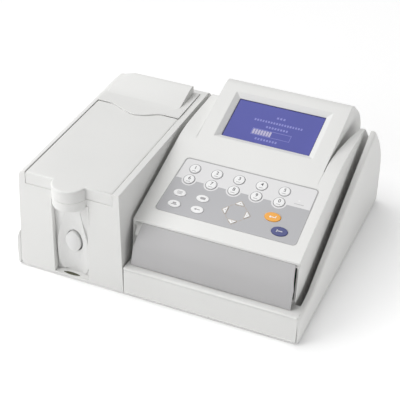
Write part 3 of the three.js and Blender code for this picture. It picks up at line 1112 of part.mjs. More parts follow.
add(analyser, 'halogen_lamp', halogenLamp(), clearTube);
add(analyser, 'console_housing', consoleHousing(), whiteShell);
add(analyser, 'front_panel', frontPanel(), greyPanel);
add(slope, 'lcd_window', behindScreen(WINDOW_BORDER, WINDOW_FRONT, WINDOW_THICK), glassBlue);
add(slope, 'lcd_module', behindScreen(MODULE_BORDER, WINDOW_FRONT - WINDOW_THICK - GAP, MODULE_THICK),
  boardGreen);
add(slope, 'keypad_overlay', keypadOverlay(), overlayPrint);
add(slope, 'keypad_board', keypadBoard(), boardGreen);
keys.forEach((key) => add(slope, key.name, keyBody(key.outline), key.material, key.x, key.y, 0));
add(analyser, 'main_board', mainBoard(), boardGreen);
add(analyser, 'power_supply', powerSupply(), steel);
add(analyser, 'rear_fan', rearFan(), blackPlastic);
add(analyser, 'fan_rotor', fanRotor(), blackPlastic);
add(analyser, 'mains_inlet', mainsInlet(), blackPlastic);
add(analyser, 'power_rocker', powerRocker(), blackPlastic);
add(analyser, 'serial_port', serialPort(), steel);

// Origin at the bottom centre of the whole
const root = new THREE.Group();
analyser.position.set(-(WIDTH - SKIRT) / 2, -(DEPTH + NOSE_Y - NOSE_RADIUS) / 2, 0);
root.add(analyser);

export default root;
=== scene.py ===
"""Looks of the benchtop chemistry analyzer: rounded shells, printed keypad, display and finishes."""
import json
import math

import bmesh
import bpy
from mathutils import Matrix, Vector


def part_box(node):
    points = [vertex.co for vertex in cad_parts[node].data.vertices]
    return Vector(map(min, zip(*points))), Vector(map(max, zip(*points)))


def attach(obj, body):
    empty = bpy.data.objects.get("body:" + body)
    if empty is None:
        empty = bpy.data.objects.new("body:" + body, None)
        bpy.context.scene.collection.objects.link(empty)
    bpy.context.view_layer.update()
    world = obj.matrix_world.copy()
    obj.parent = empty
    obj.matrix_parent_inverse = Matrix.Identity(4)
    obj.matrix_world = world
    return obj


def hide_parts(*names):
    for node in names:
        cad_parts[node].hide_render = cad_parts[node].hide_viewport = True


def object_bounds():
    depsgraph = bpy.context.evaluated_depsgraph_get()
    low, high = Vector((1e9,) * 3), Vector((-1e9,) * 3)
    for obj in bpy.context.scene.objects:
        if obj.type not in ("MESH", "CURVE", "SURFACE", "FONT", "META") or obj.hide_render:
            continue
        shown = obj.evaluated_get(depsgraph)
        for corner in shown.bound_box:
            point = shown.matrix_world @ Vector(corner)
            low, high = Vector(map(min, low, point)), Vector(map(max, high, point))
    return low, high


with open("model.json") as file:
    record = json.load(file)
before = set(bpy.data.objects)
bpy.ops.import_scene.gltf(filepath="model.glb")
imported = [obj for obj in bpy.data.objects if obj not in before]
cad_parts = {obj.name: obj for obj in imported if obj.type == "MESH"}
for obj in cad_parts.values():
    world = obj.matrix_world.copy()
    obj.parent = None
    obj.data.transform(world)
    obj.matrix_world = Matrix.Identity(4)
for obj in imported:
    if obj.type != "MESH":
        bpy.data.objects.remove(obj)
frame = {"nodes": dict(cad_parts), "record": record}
cad_low, cad_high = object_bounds()
nodes = frame["nodes"]
bodies = {node: body for body, names in frame["record"]["behaviour"]["bodies"].items() for node in names}
slots = {part["node"]: part["material_slot"] for part in frame["record"]["subparts"]}

MM = 0.001
QUARTER = math.pi / 2

# Corner frame of the object: the tower's left foot, the front foot and the bench
SKIRT = 4.5 * MM
NOSE_REACH = 14.5 * MM
CORNER = Vector((cad_low.x + SKIRT, cad_low.y + NOSE_REACH, 0))

# Slope of the console, measured from its lip, in millimetres
LIP_Y = 29.7
LIP_Z = 92.3
TILT = math.radians(17.6)
SLOPE = (Matrix.Translation(CORNER) @ Matrix.Scale(MM, 4) @ Matrix.Translation((0, LIP_Y, LIP_Z))
         @ Matrix.Rotation(TILT, 4, "X"))
FROM_SLOPE = SLOPE.inverted()

# The photograph's camera, in the corner frame
CAMERA_AT = Vector((631.3, -929.6, 877.8)) * MM
CAMERA_AZIMUTH = math.radians(22.99)
CAMERA_ELEVATION = math.radians(35.18)
CAMERA_ROLL = math.radians(0.97)
CAMERA_LENS = 102.77
SENSOR = 36
CAMERA_REACH = 20

# Lights, floor and backdrop
KEY_FROM = (-0.50, 0.05, 1.0)
KEY_STRENGTH = 2.1
KEY_SOFTNESS = math.radians(60)
FRONT_AT = (-0.95, -1.15, 0.60)
FRONT_POWER = 9.3
FRONT_SIZE = (0.9, 0.9)
BOUNCE_AT = (0.95, -0.20, 0.08)
BOUNCE_POWER = 2.0
BOUNCE_SIZE = (0.9, 0.1)
FLOOR_REACH = 6.0
FLOOR_TONE = 0.90
FLOOR_LIFT = 0.22
WORLD_FILL = 0.2

# Roundings of the moulded edges, and the angles from which an edge is rounded or shaded sharp
TRAY_EDGE = 1.0 * MM
SHELL_EDGE = 0.6 * MM
FINE_EDGE = 0.4 * MM
SEAM_EDGE = 0.25 * MM
EDGE_STEPS = 3
BEVEL_FROM = math.radians(38)
SHARP_FROM = math.radians(32)
RECESS_FROM = math.radians(24)
WELD = 0.002 * MM
FLAT = math.radians(1)

# Keypad print, in millimetres on the slope
PRINT_THICK = 0.06
PRINT_WELD = 0.001
OUTLINE_WIDTH = 1.3
KEYPAD_CORNER = 5
FLARE_LEFT = 6.1
FLARE_RIGHT = 0.7
FIELD_DROP = 0.7
KEY_CLEARANCE = 0.35
HALO = 2.1
BAY_STEPS = 12
RING_WIDTH = 0.6
LED_AT = (315.3, 83.7)
LED_SIZE = 2.6
LED_LINE = (310.9, 78.2, 322.6, 78.8)
LEAST_MITRE = 0.35

# Keys, in millimetres
KEY_STEPS = 48
KEY_CROWN = 0.16
KEY_CROWN_SHARES = (0.8, 0.55, 0.3, 0.1)
KEY_ROUND = 0.35
KEY_ROUND_STEPS = 4
KEY_FLANGE = 0.9
TIP_ROUND = 0.6
ARROW_LINE = 0.55
ARROW_DOT = 1.3
ARROW_DOT_STEPS = 16
ARC_FROM = math.radians(34)
DIGIT_SIZE = 6.6
DIGIT_WEIGHT = DIGIT_SIZE / 120
DIGIT_RISE = 1.3

# Display, in millimetres on the slope
SCREEN_CENTRE = (245, 187)
SCREEN_SIZE = (114, 64.4)
DISPLAY_RIM = 0.9

# Rows of dashes as shares of the display: left end, right end, lower edge, and how many dashes
DASH_ROWS = {
    "row_title": (0.49, 0.60, 0.70, 3),
    "row_upper": (0.26, 0.82, 0.56, 18),
    "row_middle": (0.42, 0.68, 0.43, 8),
    "row_lower": (0.36, 0.62, 0.10, 8),
}
DASH_HEIGHT = 0.05
DASH_SHARE = 0.62

# Progress bar as shares of the display, each frame line by two corners
PROGRESS_STEPS = 7
PROGRESS_LEFT = 0.30
PROGRESS_LOW = 0.23
PROGRESS_HIGH = 0.35
PROGRESS_PITCH = 0.031
PROGRESS_WIDTH = 0.024
PROGRESS_FRAME = {
    "top": (0.29, 0.36, 0.73, 0.37),
    "low": (0.29, 0.21, 0.73, 0.22),
    "left": (0.29, 0.22, 0.295, 0.36),
    "right": (0.725, 0.22, 0.73, 0.36),
}

# Aspirate button, in millimetres
BUTTON_STEM = 8
BUTTON_BODY = 7
BUTTON_CROWN = 1.2
BUTTON_INSET = 2 * BUTTON_CROWN
BUTTON_ROUND_STEPS = 6
BUTTON_CROWN_SHARES = (0.85, 0.65, 0.4, 0.15)

# Dark sheet on the floor of the sampling niche, painted shade of the gap under the shield, in millimetres in
# the corner frame
SHADE_SHEET_AT = (68.4, 3.6)
SHADE_SHEET_WIDTH = 22.5
SHADE_SHEET_DEPTH = 4.4
SHADE_SHEET_THICK = 0.5
SHADE_SHEET_STEPS = 16
SHADE_SHEET_POINTED = 1.5
SHADE_SHEET_RIM = (0.97, 0.9)
NICHE_FLOOR = 5


# Materials

def principled(name, colour, roughness, metallic=0.0, specular=0.5, **sockets):
    material = bpy.data.materials.new(name)
    material.use_nodes = True
    shader = material.node_tree.nodes["Principled BSDF"]
    shader.inputs["Base Color"].default_value = (*colour, 1)
    shader.inputs["Roughness"].default_value = roughness
    shader.inputs["Metallic"].default_value = metallic
    shader.inputs["Specular IOR Level"].default_value = specular
    for socket, value in sockets.items():
        shader.inputs[socket.replace("_", " ")].default_value = value
    return material, shader


def link(material, source, target):
    material.node_tree.links.new(source, target)


def noise(material, scale, detail=3.0, stretch=(1, 1, 1)):
    """Noise over the object's own coordinates, in metres, so it stays with a moving piece."""
    tree = material.node_tree
    coordinates = tree.nodes.new("ShaderNodeTexCoord")
    mapping = tree.nodes.new("ShaderNodeMapping")
    mapping.inputs["Scale"].default_value = stretch
    texture = tree.nodes.new("ShaderNodeTexNoise")
    texture.inputs["Scale"].default_value = scale
    texture.inputs["Detail"].default_value = detail
    link(material, coordinates.outputs["Object"], mapping.inputs["Vector"])
    link(material, mapping.outputs["Vector"], texture.inputs["Vector"])
    return texture.outputs["Fac"]


def vary_colour(material, shader, factor, dark, light, low=0.3, high=0.7):
    ramp = material.node_tree.nodes.new("ShaderNodeValToRGB")
    for stop, position, colour in zip(ramp.color_ramp.elements, (low, high), (dark, light)):
        stop.position = position
        stop.color = (*colour, 1)
    link(material, factor, ramp.inputs["Fac"])
    link(material, ramp.outputs["Color"], shader.inputs["Base Color"])


def vary_roughness(material, shader, factor, low, high):
    spread = material.node_tree.nodes.new("ShaderNodeMapRange")
    spread.inputs["To Min"].default_value = low
    spread.inputs["To Max"].default_value = high
    link(material, factor, spread.inputs["Value"])
    link(material, spread.outputs["Result"], shader.inputs["Roughness"])


def add_bump(material, shader, height, strength, distance=0.02 * MM):
    bump = material.node_tree.nodes.new("ShaderNodeBump")
    bump.inputs["Strength"].default_value = strength
    bump.inputs["Distance"].default_value = distance
    link(material, height, bump.inputs["Height"])
    link(material, bump.outputs["Normal"], shader.inputs["Normal"])


def moulded(name, colour, roughness, grain=2200.0, strength=0.12, tone=0.97, specular=0.35, clouds=9.0,
            gloss=(-0.04, 0.06)):
    """Moulded plastic: a fine spark-eroded grain with slow changes of tone and gloss."""
    material, shader = principled(name, colour, roughness, specular=specular)
    slow = noise(material, clouds)
    vary_colour(material, shader, slow, tuple(channel * tone for channel in colour), colour)
    vary_roughness(material, shader, slow, *(roughness + change for change in gloss))
    add_bump(material, shader, noise(material, grain, detail=2.0), strength)
    return material


def satin(name, colour):
    """Smooth moulded plastic of the keys and the button."""
    return moulded(name, colour, 0.30, grain=3000.0, strength=0.05)


def printed(name, colour, roughness=0.5):
    """Screen print on the satin film of the keypad."""
    return moulded(name, colour, roughness, grain=3200.0, strength=0.06, tone=0.985, specular=0.2)


def brushed(name, colour, roughness, stretch, lines=60.0, darker=0.9, gloss=(-0.08, 0.12)):
    """Metal with fine lines along one direction."""
    material, shader = principled(name, colour, roughness, metallic=1.0)
    texture = noise(material, lines, detail=4.0, stretch=stretch)
    vary_colour(material, shader, texture, tuple(channel * darker for channel in colour), colour)
    vary_roughness(material, shader, texture, *(roughness + change for change in gloss))
    add_bump(material, shader, texture, strength=0.15)
    return material


def display_glass(dark=(0.070, 0.080, 0.33), light=(0.078, 0.085, 0.36), glow=(0.06, 0.06, 0.28)):
    """Backlit blue display: an even glow with faint clouds, behind a glossy window."""
    material, shader = principled("lcd_glass", light, roughness=0.2, specular=0.15, Emission_Strength=0.12)
    vary_colour(material, shader, noise(material, scale=14.0, detail=2.0), dark, light)
    shader.inputs["Emission Color"].default_value = (*glow, 1)
    return material


def clear_glass():
    material, shader = principled("lamp_glass", (0.95, 0.97, 0.97), roughness=0.05, Transmission_Weight=1.0,
                                  IOR=1.5)
    vary_roughness(material, shader, noise(material, scale=300.0), low=0.02, high=0.08)
    return material


finishes = {
    "white_shell": moulded("white_shell", (0.81, 0.81, 0.795), 0.42),
    "grey_panel": moulded("grey_panel", (0.50, 0.495, 0.50), 0.40),
    "niche_panel": moulded("niche_panel", (0.79, 0.79, 0.78), 0.36),
    # Near-black sheet at the foot of the niche: painted shade of the gap under the shield
    "shade_sheet": moulded("shade_sheet", (0.085, 0.085, 0.055), 0.35, grain=3000.0, strength=0.05),
    "button_white": satin("button_white", (0.78, 0.78, 0.775)),
    "overlay_print": printed("overlay_print", (0.80, 0.795, 0.80)),
    "overlay_grey": printed("overlay_grey", (0.50, 0.50, 0.515)),
    "print_line": printed("print_line", (0.40, 0.39, 0.40)),
    "print_outline": printed("print_outline", (0.44, 0.435, 0.44)),
    "print_ring": printed("print_ring", (0.30, 0.30, 0.31)),
    "print_dark": printed("print_dark", (0.075, 0.075, 0.085)),
    "print_warm": printed("print_warm", (0.50, 0.42, 0.34)),
    "print_pale": printed("print_pale", (0.62, 0.62, 0.66)),
    "key_white": moulded("key_white", (0.86, 0.86, 0.86), 0.30, grain=3000.0, strength=0.05, tone=0.99),
    "key_orange": satin("key_orange", (0.86, 0.38, 0.035)),
    "key_navy": satin("key_navy", (0.035, 0.045, 0.19)),
    "black_plastic": moulded("black_plastic", (0.02, 0.02, 0.022), 0.45),
    "rubber": moulded("rubber", (0.025, 0.025, 0.025), 0.8, grain=900.0, strength=0.4),
    "steel": brushed("steel", (0.55, 0.56, 0.57), 0.3, stretch=(1, 30, 30)),
    "motor_case": brushed("motor_case", (0.36, 0.37, 0.38), 0.38, stretch=(30, 30, 1)),
    "aluminium": brushed("aluminium", (0.70, 0.71, 0.72), 0.34, stretch=(30, 1, 30)),
    "circuit_board": moulded("circuit_board", (0.02, 0.16, 0.06), 0.4, grain=600.0, strength=0.3, tone=0.8),
    "paper": moulded("paper", (0.80, 0.79, 0.75), 0.8, grain=1500.0, strength=0.25),
    "lcd_mark": printed("lcd_mark", (0.24, 0.25, 0.62), 0.2),
    "lcd_bar": printed("lcd_bar", (0.50, 0.47, 0.66), 0.2),
    "lcd_edge": printed("lcd_edge", (0.035, 0.03, 0.12), 0.2),
    "lcd_glass": display_glass(),
    "lamp_glass": clear_glass(),
}


# Pieces

def place(name, mesh, material, body, slot, *replaced):
    piece = bpy.data.objects.new(name, mesh)
    bpy.context.scene.collection.objects.link(piece)
    mesh.materials.clear()
    mesh.materials.append(finishes[material])
    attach(piece, body)
    if replaced:
        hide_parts(*replaced)
    return piece


def smooth(mesh, sharp_from=SHARP_FROM):
    mesh.shade_smooth()
    mesh.set_sharp_from_angle(angle=sharp_from)


def evaluated(piece):
    """The piece's mesh with its modifiers applied."""
    graph = bpy.context.evaluated_depsgraph_get()
    graph.update()
    return bpy.data.meshes.new_from_object(piece.evaluated_get(graph))


def bake_modifiers(piece):
    mesh = evaluated(piece)
    piece.modifiers.clear()
    piece.data = mesh


def merged_mesh(node):
    """The node's solid with its flat stretches joined into faces without notches."""
    work = bmesh.new()
    work.from_mesh(nodes[node].data)
    bmesh.ops.remove_doubles(work, verts=work.verts, dist=WELD)
    bmesh.ops.dissolve_limit(work, angle_limit=FLAT, verts=work.verts, edges=work.edges)
    bmesh.ops.connect_verts_concave(work, faces=work.faces)
    return work


def soften(node, edge, material=None, bevel_from=BEVEL_FROM, sharp_from=SHARP_FROM, inner=True):
    """A copy of the node's solid with rounded edges, the inner ones too or not, shown in its place."""
    work = merged_mesh(node)
    weights = work.edges.layers.float.new("bevel_weight_edge")
    for line in work.edges:
        if len(line.link_faces) == 2 and line.calc_face_angle() > bevel_from and (line.is_convex or inner):
            line[weights] = 1
    mesh = bpy.data.meshes.new(node + "_mesh")
    work.to_mesh(mesh)
    work.free()
    piece = place(node + "_shown", mesh, material or slots[node], bodies[node], slots[node], node)
    bevel = piece.modifiers.new("edges", "BEVEL")
    bevel.limit_method = "WEIGHT"
    bevel.width = edge
    bevel.segments = EDGE_STEPS
    bevel.use_clamp_overlap = False
    bevel.miter_outer = "MITER_ARC"
    bake_modifiers(piece)
    smooth(piece.data, sharp_from)
    weighted = piece.modifiers.new("normals", "WEIGHTED_NORMAL")
    weighted.keep_sharp = True
    bake_modifiers(piece)


def loft(rings, matrix):
    """A closed body through rings, each an outline of equally many points and its height."""
    work = bmesh.new()
    loops = [[work.verts.new(matrix @ Vector((x, y, height))) for x, y in outline]
             for outline, height in rings]
    count = len(loops[0])
    for low, high in zip(loops, loops[1:]):
        for i in range(count):
            work.faces.new((low[i], low[(i + 1) % count], high[(i + 1) % count], high[i]))
    work.faces.new(list(reversed(loops[0])))
    work.faces.new(loops[-1])
    bmesh.ops.recalc_face_normals(work, faces=work.faces)
    mesh = bpy.data.meshes.new("loft")
    work.to_mesh(mesh)
    work.free()
    smooth(mesh)
    return mesh


def curve_mesh(data, matrix):
    """The filled and extruded form of a curve or text, as a closed mesh."""
    holder = bpy.data.objects.new("curve", data)
    bpy.context.scene.collection.objects.link(holder)
    mesh = evaluated(holder)
    bpy.data.objects.remove(holder)
    work = bmesh.new()
    work.from_mesh(mesh)
    bmesh.ops.remove_doubles(work, verts=work.verts, dist=PRINT_WELD)
    work.to_mesh(mesh)
    work.free()
    mesh.transform(matrix)
    return mesh


def flat_print(name, loops, height, material, body="base", slot="overlay_print"):
    """A thin print on the slope: filled outlines, in which an inner outline is a hole."""
    data = bpy.data.curves.new(name, "CURVE")
    data.dimensions = "2D"
    data.fill_mode = "BOTH"
    data.extrude = PRINT_THICK / 2
    for loop in loops:
        spline = data.splines.new("POLY")
        spline.points.add(len(loop) - 1)
        for point, (x, y) in zip(spline.points, loop):
            point.co = (x, y, 0, 1)
        spline.use_cyclic_u = True
    mesh = curve_mesh(data, SLOPE @ Matrix.Translation((0, 0, height)))
    place(name, mesh, material, body, slot)


def digit_print(name, text, x, y, height, body):
    data = bpy.data.curves.new(name, "FONT")
    data.body = text
    data.size = DIGIT_SIZE
    data.align_x = "CENTER"
    data.align_y = "CENTER"
    data.extrude = PRINT_THICK / 2
    data.offset = DIGIT_WEIGHT
    mesh = curve_mesh(data, SLOPE @ Matrix.Translation((x, y, height)))
    place(name, mesh, "print_dark", body, "key_white")


# Outlines

def ellipse(x, y, width, height, steps=KEY_STEPS):
    turns = [2 * math.pi * i / steps for i in range(steps)]
    return [(x + width / 2 * math.cos(turn), y + height / 2 * math.sin(turn)) for turn in turns]


def rounded_box(x0, y0, x1, y1, radius, steps=8):
    centres = [(x1 - radius, y1 - radius), (x0 + radius, y1 - radius), (x0 + radius, y0 + radius),
               (x1 - radius, y0 + radius)]
    return [(cx + radius * math.cos(QUARTER * (corner + i / steps)),
             cy + radius * math.sin(QUARTER * (corner + i / steps)))
            for corner, (cx, cy) in enumerate(centres) for i in range(steps + 1)]


def rectangle(x0, y0, x1, y1):
    return [(x0, y0), (x1, y0), (x1, y1), (x0, y1)]


def offset(loop, distance):
    """A closed outline moved outwards by a distance."""
    moved = []
    for i, (x, y) in enumerate(loop):
        before = Vector((x - loop[i - 1][0], y - loop[i - 1][1])).normalized()
        following = loop[(i + 1) % len(loop)]
        after = Vector((following[0] - x, following[1] - y)).normalized()
        normal = Vector((before.y + after.y, -before.x - after.x)).normalized()
        reach = distance / max(normal.dot(Vector((before.y, -before.x))), LEAST_MITRE)
        moved.append((x + normal.x * reach, y + normal.y * reach))
    return moved


def rounded_triangle(points, radius, steps=5):
    """The triangle through three points with its corners rounded."""
    loop = []
    for i, corner in enumerate(points):
        before = (points[i - 1] - corner).normalized()
        after = (points[(i + 1) % len(points)] - corner).normalized()
        reach = radius / math.tan(before.angle(after) / 2)
        start = corner + before * reach
        end = corner + after * reach
        for step in range(steps + 1):
            share = step / steps
            point = start * (1 - share) ** 2 + corner * 2 * share * (1 - share) + end * share ** 2
            loop.append((point.x, point.y))
    return loop


def arc(centre, radius, start, end, steps):
    turns = [start + (end - start) * i / steps for i in range(steps + 1)]
    return [(centre.x + radius * math.cos(turn), centre.y + radius * math.sin(turn)) for turn in turns]


def arc_band(centre, radius, width, start, end, steps=10):
    return arc(centre, radius, start, end, steps) + arc(centre, radius - width, end, start, steps)


# Keys

digit_names = [f"key_{digit}" for digit in "1234567890"]
oval_names = ["key_menu", "key_clear", "key_print", "key_back"]
arrow_names = ["key_right", "key_up", "key_left", "key_down"]
wide_names = ["key_enter", "key_escape"]
key_names = digit_names + oval_names + arrow_names + wide_names

# Symbols about a key's centre, in millimetres
DIGIT_DASH = rectangle(-2.6, -3.95, 2.6, -3.25)
KEY_SYMBOLS = {
    "key_menu": {
        "bar_0": rectangle(-3.2, -1.95, 3.2, -1.25),
        "bar_2": rectangle(-3.2, -0.35, 3.2, 0.35),
        "bar_4": rectangle(-3.2, 1.25, 3.2, 1.95),
    },
    "key_clear": {"bar": [(-3.6, 0), (-1.8, -1.7), (3.6, -1.7), (3.6, 1.7), (-1.8, 1.7)]},
    "key_print": {"sheet": rectangle(-2.2, -0.2, 2.2, 2), "tray": rectangle(-3.6, -1.7, 3.6, -0.6)},
    "key_back": {"arrow": [(-3.8, 0), (-1.4, -1.9), (-1.4, -0.5), (3.6, -0.5), (3.6, 0.5), (-1.4, 0.5),
                           (-1.4, 1.9)]},
    "key_enter": {"arrow": [(-4.2, -0.6), (-2, -2.5), (-2, -1.1), (4.2, -1.1), (4.2, 2), (3.2, 2),
                            (3.2, -0.1), (-2, -0.1), (-2, 1.3)]},
    "key_escape": {"stop": rectangle(-3.6, -0.6, 3.6, 0.6), "stop_left": rectangle(-3.6, -1.8, -2.4, 1.8)},
}
SYMBOL_FINISHES = {"key_enter": "key_white", "key_escape": "print_pale"}


def slope_points(node):
    return [FROM_SLOPE @ vertex.co for vertex in nodes[node].data.vertices]


def arrow_outline(name, rim):
    """Middle of an arrow key, and its rounded triangle about that middle."""
    turn = arrow_names.index(name) * QUARTER
    ahead = Vector((math.cos(turn), math.sin(turn)))
    corners = sorted({(round(point.x, 2), round(point.y, 2)) for point in rim})
    middle = sum((Vector(corner) for corner in corners), Vector((0, 0))) / len(corners)
    tips = [Vector(corner) - middle for corner in corners]
    tips.sort(key=lambda tip: ahead.angle_signed(tip, 0) % math.tau)
    return middle, rounded_triangle(tips[::-1], TIP_ROUND)


def key_shape(name):
    """Centre, outline about it, and the heights of the key's top, flange and foot."""
    points = slope_points(name)
    top = max(point.z for point in points)
    foot = min(point.z for point in points)
    flange = max(point.z for point in points if top - point.z > KEY_CROWN)
    rim = [point for point in points if top - point.z < KEY_CROWN]
    if name in arrow_names:
        return *arrow_outline(name, rim), top, flange, foot
    low = Vector((min(point.x for point in rim), min(point.y for point in rim)))
    high = Vector((max(point.x for point in rim), max(point.y for point in rim)))
    return (low + high) / 2, ellipse(0, 0, *(high - low)), top, flange, foot


key_shapes = {name: key_shape(name) for name in key_names}


def key_cap(name):
    """A moulded key top with a rounded rim and a slight crown, on its flange."""
    centre, outline, top, flange, foot = key_shapes[name]
    wide = offset(outline, KEY_FLANGE)
    rings = [(wide, foot), (wide, flange), (outline, flange), (outline, top - KEY_ROUND)]
    for step in range(1, KEY_ROUND_STEPS + 1):
        turn = QUARTER * step / KEY_ROUND_STEPS
        inset = offset(outline, -KEY_ROUND * (1 - math.cos(turn)))
        rings.append((inset, top - KEY_ROUND * (1 - math.sin(turn))))
    rim, _ = rings[-1]
    for share in KEY_CROWN_SHARES:
        rings.append(([(x * share, y * share) for x, y in rim], top + KEY_CROWN * (1 - share ** 2)))
    mesh = loft(rings, SLOPE @ Matrix.Translation((*centre, 0)))
    place(name + "_cap", mesh, slots[name], bodies[name], slots[name], name)


def key_symbol(key, part, outline, material):
    """A printed symbol on a key's crown, drawn about the key's centre."""
    centre, _, top, _, _ = key_shapes[key]
    loops = [[(centre.x + x, centre.y + y) for x, y in outline]]
    flat_print(f"{key}_{part}", loops, top + KEY_CROWN, material, bodies[key], "key_white")


for name in key_names:
    key_cap(name)

for name in digit_names:
    centre, _, top, _, _ = key_shapes[name]
    digit_print(name + "_digit", name[-1], centre.x, centre.y + DIGIT_RISE, top + KEY_CROWN, bodies[name])
    key_symbol(name, "dash", DIGIT_DASH, "print_line")

for name, parts in KEY_SYMBOLS.items():
    for part, outline in parts.items():
        key_symbol(name, part, outline, SYMBOL_FINISHES.get(name, "print_line"))


# Keypad print: white film with an outline, a grey field under the digit rows and a ring round each digit

pad_points = slope_points("keypad_overlay")
pad_front = min(point.y for point in pad_points)
pad_back = max(point.y for point in pad_points)
front_share = 1 - KEYPAD_CORNER / (pad_back - pad_front)
pad_left = min(point.x for point in pad_points) + front_share * FLARE_LEFT
pad_right = max(point.x for point in pad_points) - front_share * FLARE_RIGHT
print_height = max(point.z for point in pad_points) + PRINT_THICK / 2
field_back = key_shapes["key_6"][0].y - FIELD_DROP


def flared(loop):
    """An outline for a straight keypad, spread towards the front as the overlay is."""
    moved = []
    for x, y in loop:
        down = (pad_back - y) / (pad_back - pad_front)
        across = (x - pad_left) / (pad_right - pad_left)
        moved.append((x + down * (across * FLARE_RIGHT - (1 - across) * FLARE_LEFT), y))
    return moved


def key_hole(name, width=0):
    """The outline of a key's hole, or of a ring of some width round it."""
    centre, outline, *_ = key_shapes[name]
    return [(centre.x + x, centre.y + y) for x, y in offset(outline, KEY_CLEARANCE + width)]


def grey_field():
    """The lower field: rounded at the front, with a bay round each key of the lower digit row."""
    front = rounded_box(pad_left, pad_front, pad_right, field_back, KEYPAD_CORNER)
    loop = flared(front[len(front) // 2:] + [(pad_right, field_back)])
    for name in reversed(digit_names[len(digit_names) // 2:]):
        centre, outline, *_ = key_shapes[name]
        radius = max(x for x, _ in outline) + KEY_CLEARANCE + RING_WIDTH + HALO
        start = math.asin(FIELD_DROP / radius)
        loop += arc(centre, radius, -start, start - math.pi, BAY_STEPS)
    loop += flared([(pad_left, field_back)])
    return [loop, *(key_hole(name) for name in oval_names + arrow_names + wide_names)]


# The outline lies under the grey field, so it only shows round the white part
pad_edge = flared(rounded_box(pad_left, pad_front, pad_right, pad_back, KEYPAD_CORNER))
flat_print("keypad_outline", [pad_edge, offset(pad_edge, -OUTLINE_WIDTH)], print_height, "print_outline")
flat_print("keypad_field", grey_field(), print_height + PRINT_THICK, "overlay_grey")
for name in digit_names:
    flat_print(name + "_ring", [key_hole(name, RING_WIDTH), key_hole(name)], print_height, "print_ring")

# Arrow keys: a line round each, a dot on it, and arcs of one circle between them
arrow_height = print_height + 2 * PRINT_THICK
arrow_centre = sum((key_shapes[name][0] for name in arrow_names), Vector((0, 0))) / len(arrow_names)
arrow_radius = 0
for name in arrow_names:
    flat_print(name + "_line", [key_hole(name, ARROW_LINE), key_hole(name)], arrow_height, "print_warm")
    key_symbol(name, "dot", ellipse(0, 0, ARROW_DOT, ARROW_DOT, ARROW_DOT_STEPS), "print_warm")
    centre, outline, *_ = key_shapes[name]
    arrow_radius = max(arrow_radius, (centre - arrow_centre + Vector(outline[len(outline) // 2])).length)
for i in range(len(arrow_names)):
    start = QUARTER * i + ARC_FROM
    end = QUARTER * (i + 1) - ARC_FROM
    band = arc_band(arrow_centre, arrow_radius, ARROW_LINE, start, end)
    flat_print(f"arrow_arc_{i}", [band], arrow_height, "print_warm")

# Power light and the line under it
flat_print("led_lens", [ellipse(*LED_AT, LED_SIZE, LED_SIZE)], print_height, "key_white")
flat_print("led_line", [rectangle(*LED_LINE)], print_height, "print_outline")


# Display marks: an edge line, rows of dashes and a progress bar

mark_height = max(point.z for point in slope_points("lcd_window")) + PRINT_THICK / 2
screen_left = SCREEN_CENTRE[0] - SCREEN_SIZE[0] / 2
screen_right = SCREEN_CENTRE[0] + SCREEN_SIZE[0] / 2
screen_front = SCREEN_CENTRE[1] - SCREEN_SIZE[1] / 2
screen_back = SCREEN_CENTRE[1] + SCREEN_SIZE[1] / 2


def screen_mark(name, x0, y0, x1, y1, material="lcd_mark"):
    """A mark between two corners, given as shares of the display's width and height."""
    loop = rectangle(screen_left + x0 * SCREEN_SIZE[0], screen_front + y0 * SCREEN_SIZE[1],
                     screen_left + x1 * SCREEN_SIZE[0], screen_front + y1 * SCREEN_SIZE[1])
    flat_print(name, [loop], mark_height, material, "base", "lcd_glass")


screen_edge = rectangle(screen_left, screen_front, screen_right, screen_back)
flat_print("lcd_edge", [screen_edge, offset(screen_edge, -DISPLAY_RIM)], mark_height, "lcd_edge", "base",
           "lcd_glass")
for name, (left, right, low, count) in DASH_ROWS.items():
    pitch = (right - left) / count
    for i in range(count):
        start = left + i * pitch
        screen_mark(f"{name}_{i}", start, low, start + DASH_SHARE * pitch, low + DASH_HEIGHT)
for i in range(PROGRESS_STEPS):
    start = PROGRESS_LEFT + i * PROGRESS_PITCH
    screen_mark(f"progress_{i}", start, PROGRESS_LOW, start + PROGRESS_WIDTH, PROGRESS_HIGH, "lcd_bar")
for name, corners in PROGRESS_FRAME.items():
    screen_mark("progress_frame_" + name, *corners)


# Sampling niche

def aspirate_pad():
    """An oval pad with a crowned face, which faces the front."""
    low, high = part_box("aspirate_button")
    centre = (low + high) / 2
    width, depth, height = (high - low) / MM
    on_face = (Matrix.Translation((centre.x, low.y, centre.z)) @ Matrix.Scale(MM, 4)
               @ Matrix.Rotation(QUARTER, 4, "X"))
    stem = ellipse(0, 0, BUTTON_STEM, BUTTON_STEM)
    rings = [(stem, -depth), (stem, -BUTTON_BODY), (ellipse(0, 0, width, height), -BUTTON_BODY)]
    for step in range(BUTTON_ROUND_STEPS + 1):
        turn = QUARTER * step / BUTTON_ROUND_STEPS
        narrower = 2 * BUTTON_INSET * (1 - math.cos(turn))
        face = ellipse(0, 0, width - narrower, height - narrower)
        rings.append((face, BUTTON_CROWN * math.sin(turn) - BUTTON_INSET))
    rim_width = width - 2 * BUTTON_INSET
    rim_height = height - 2 * BUTTON_INSET
    for share in BUTTON_CROWN_SHARES:
        rings.append((ellipse(0, 0, rim_width * share, rim_height * share), -BUTTON_CROWN * share ** 2))
    place("aspirate_pad", loft(rings, on_face), "button_white", bodies["aspirate_button"], "key_white",
          "aspirate_button")


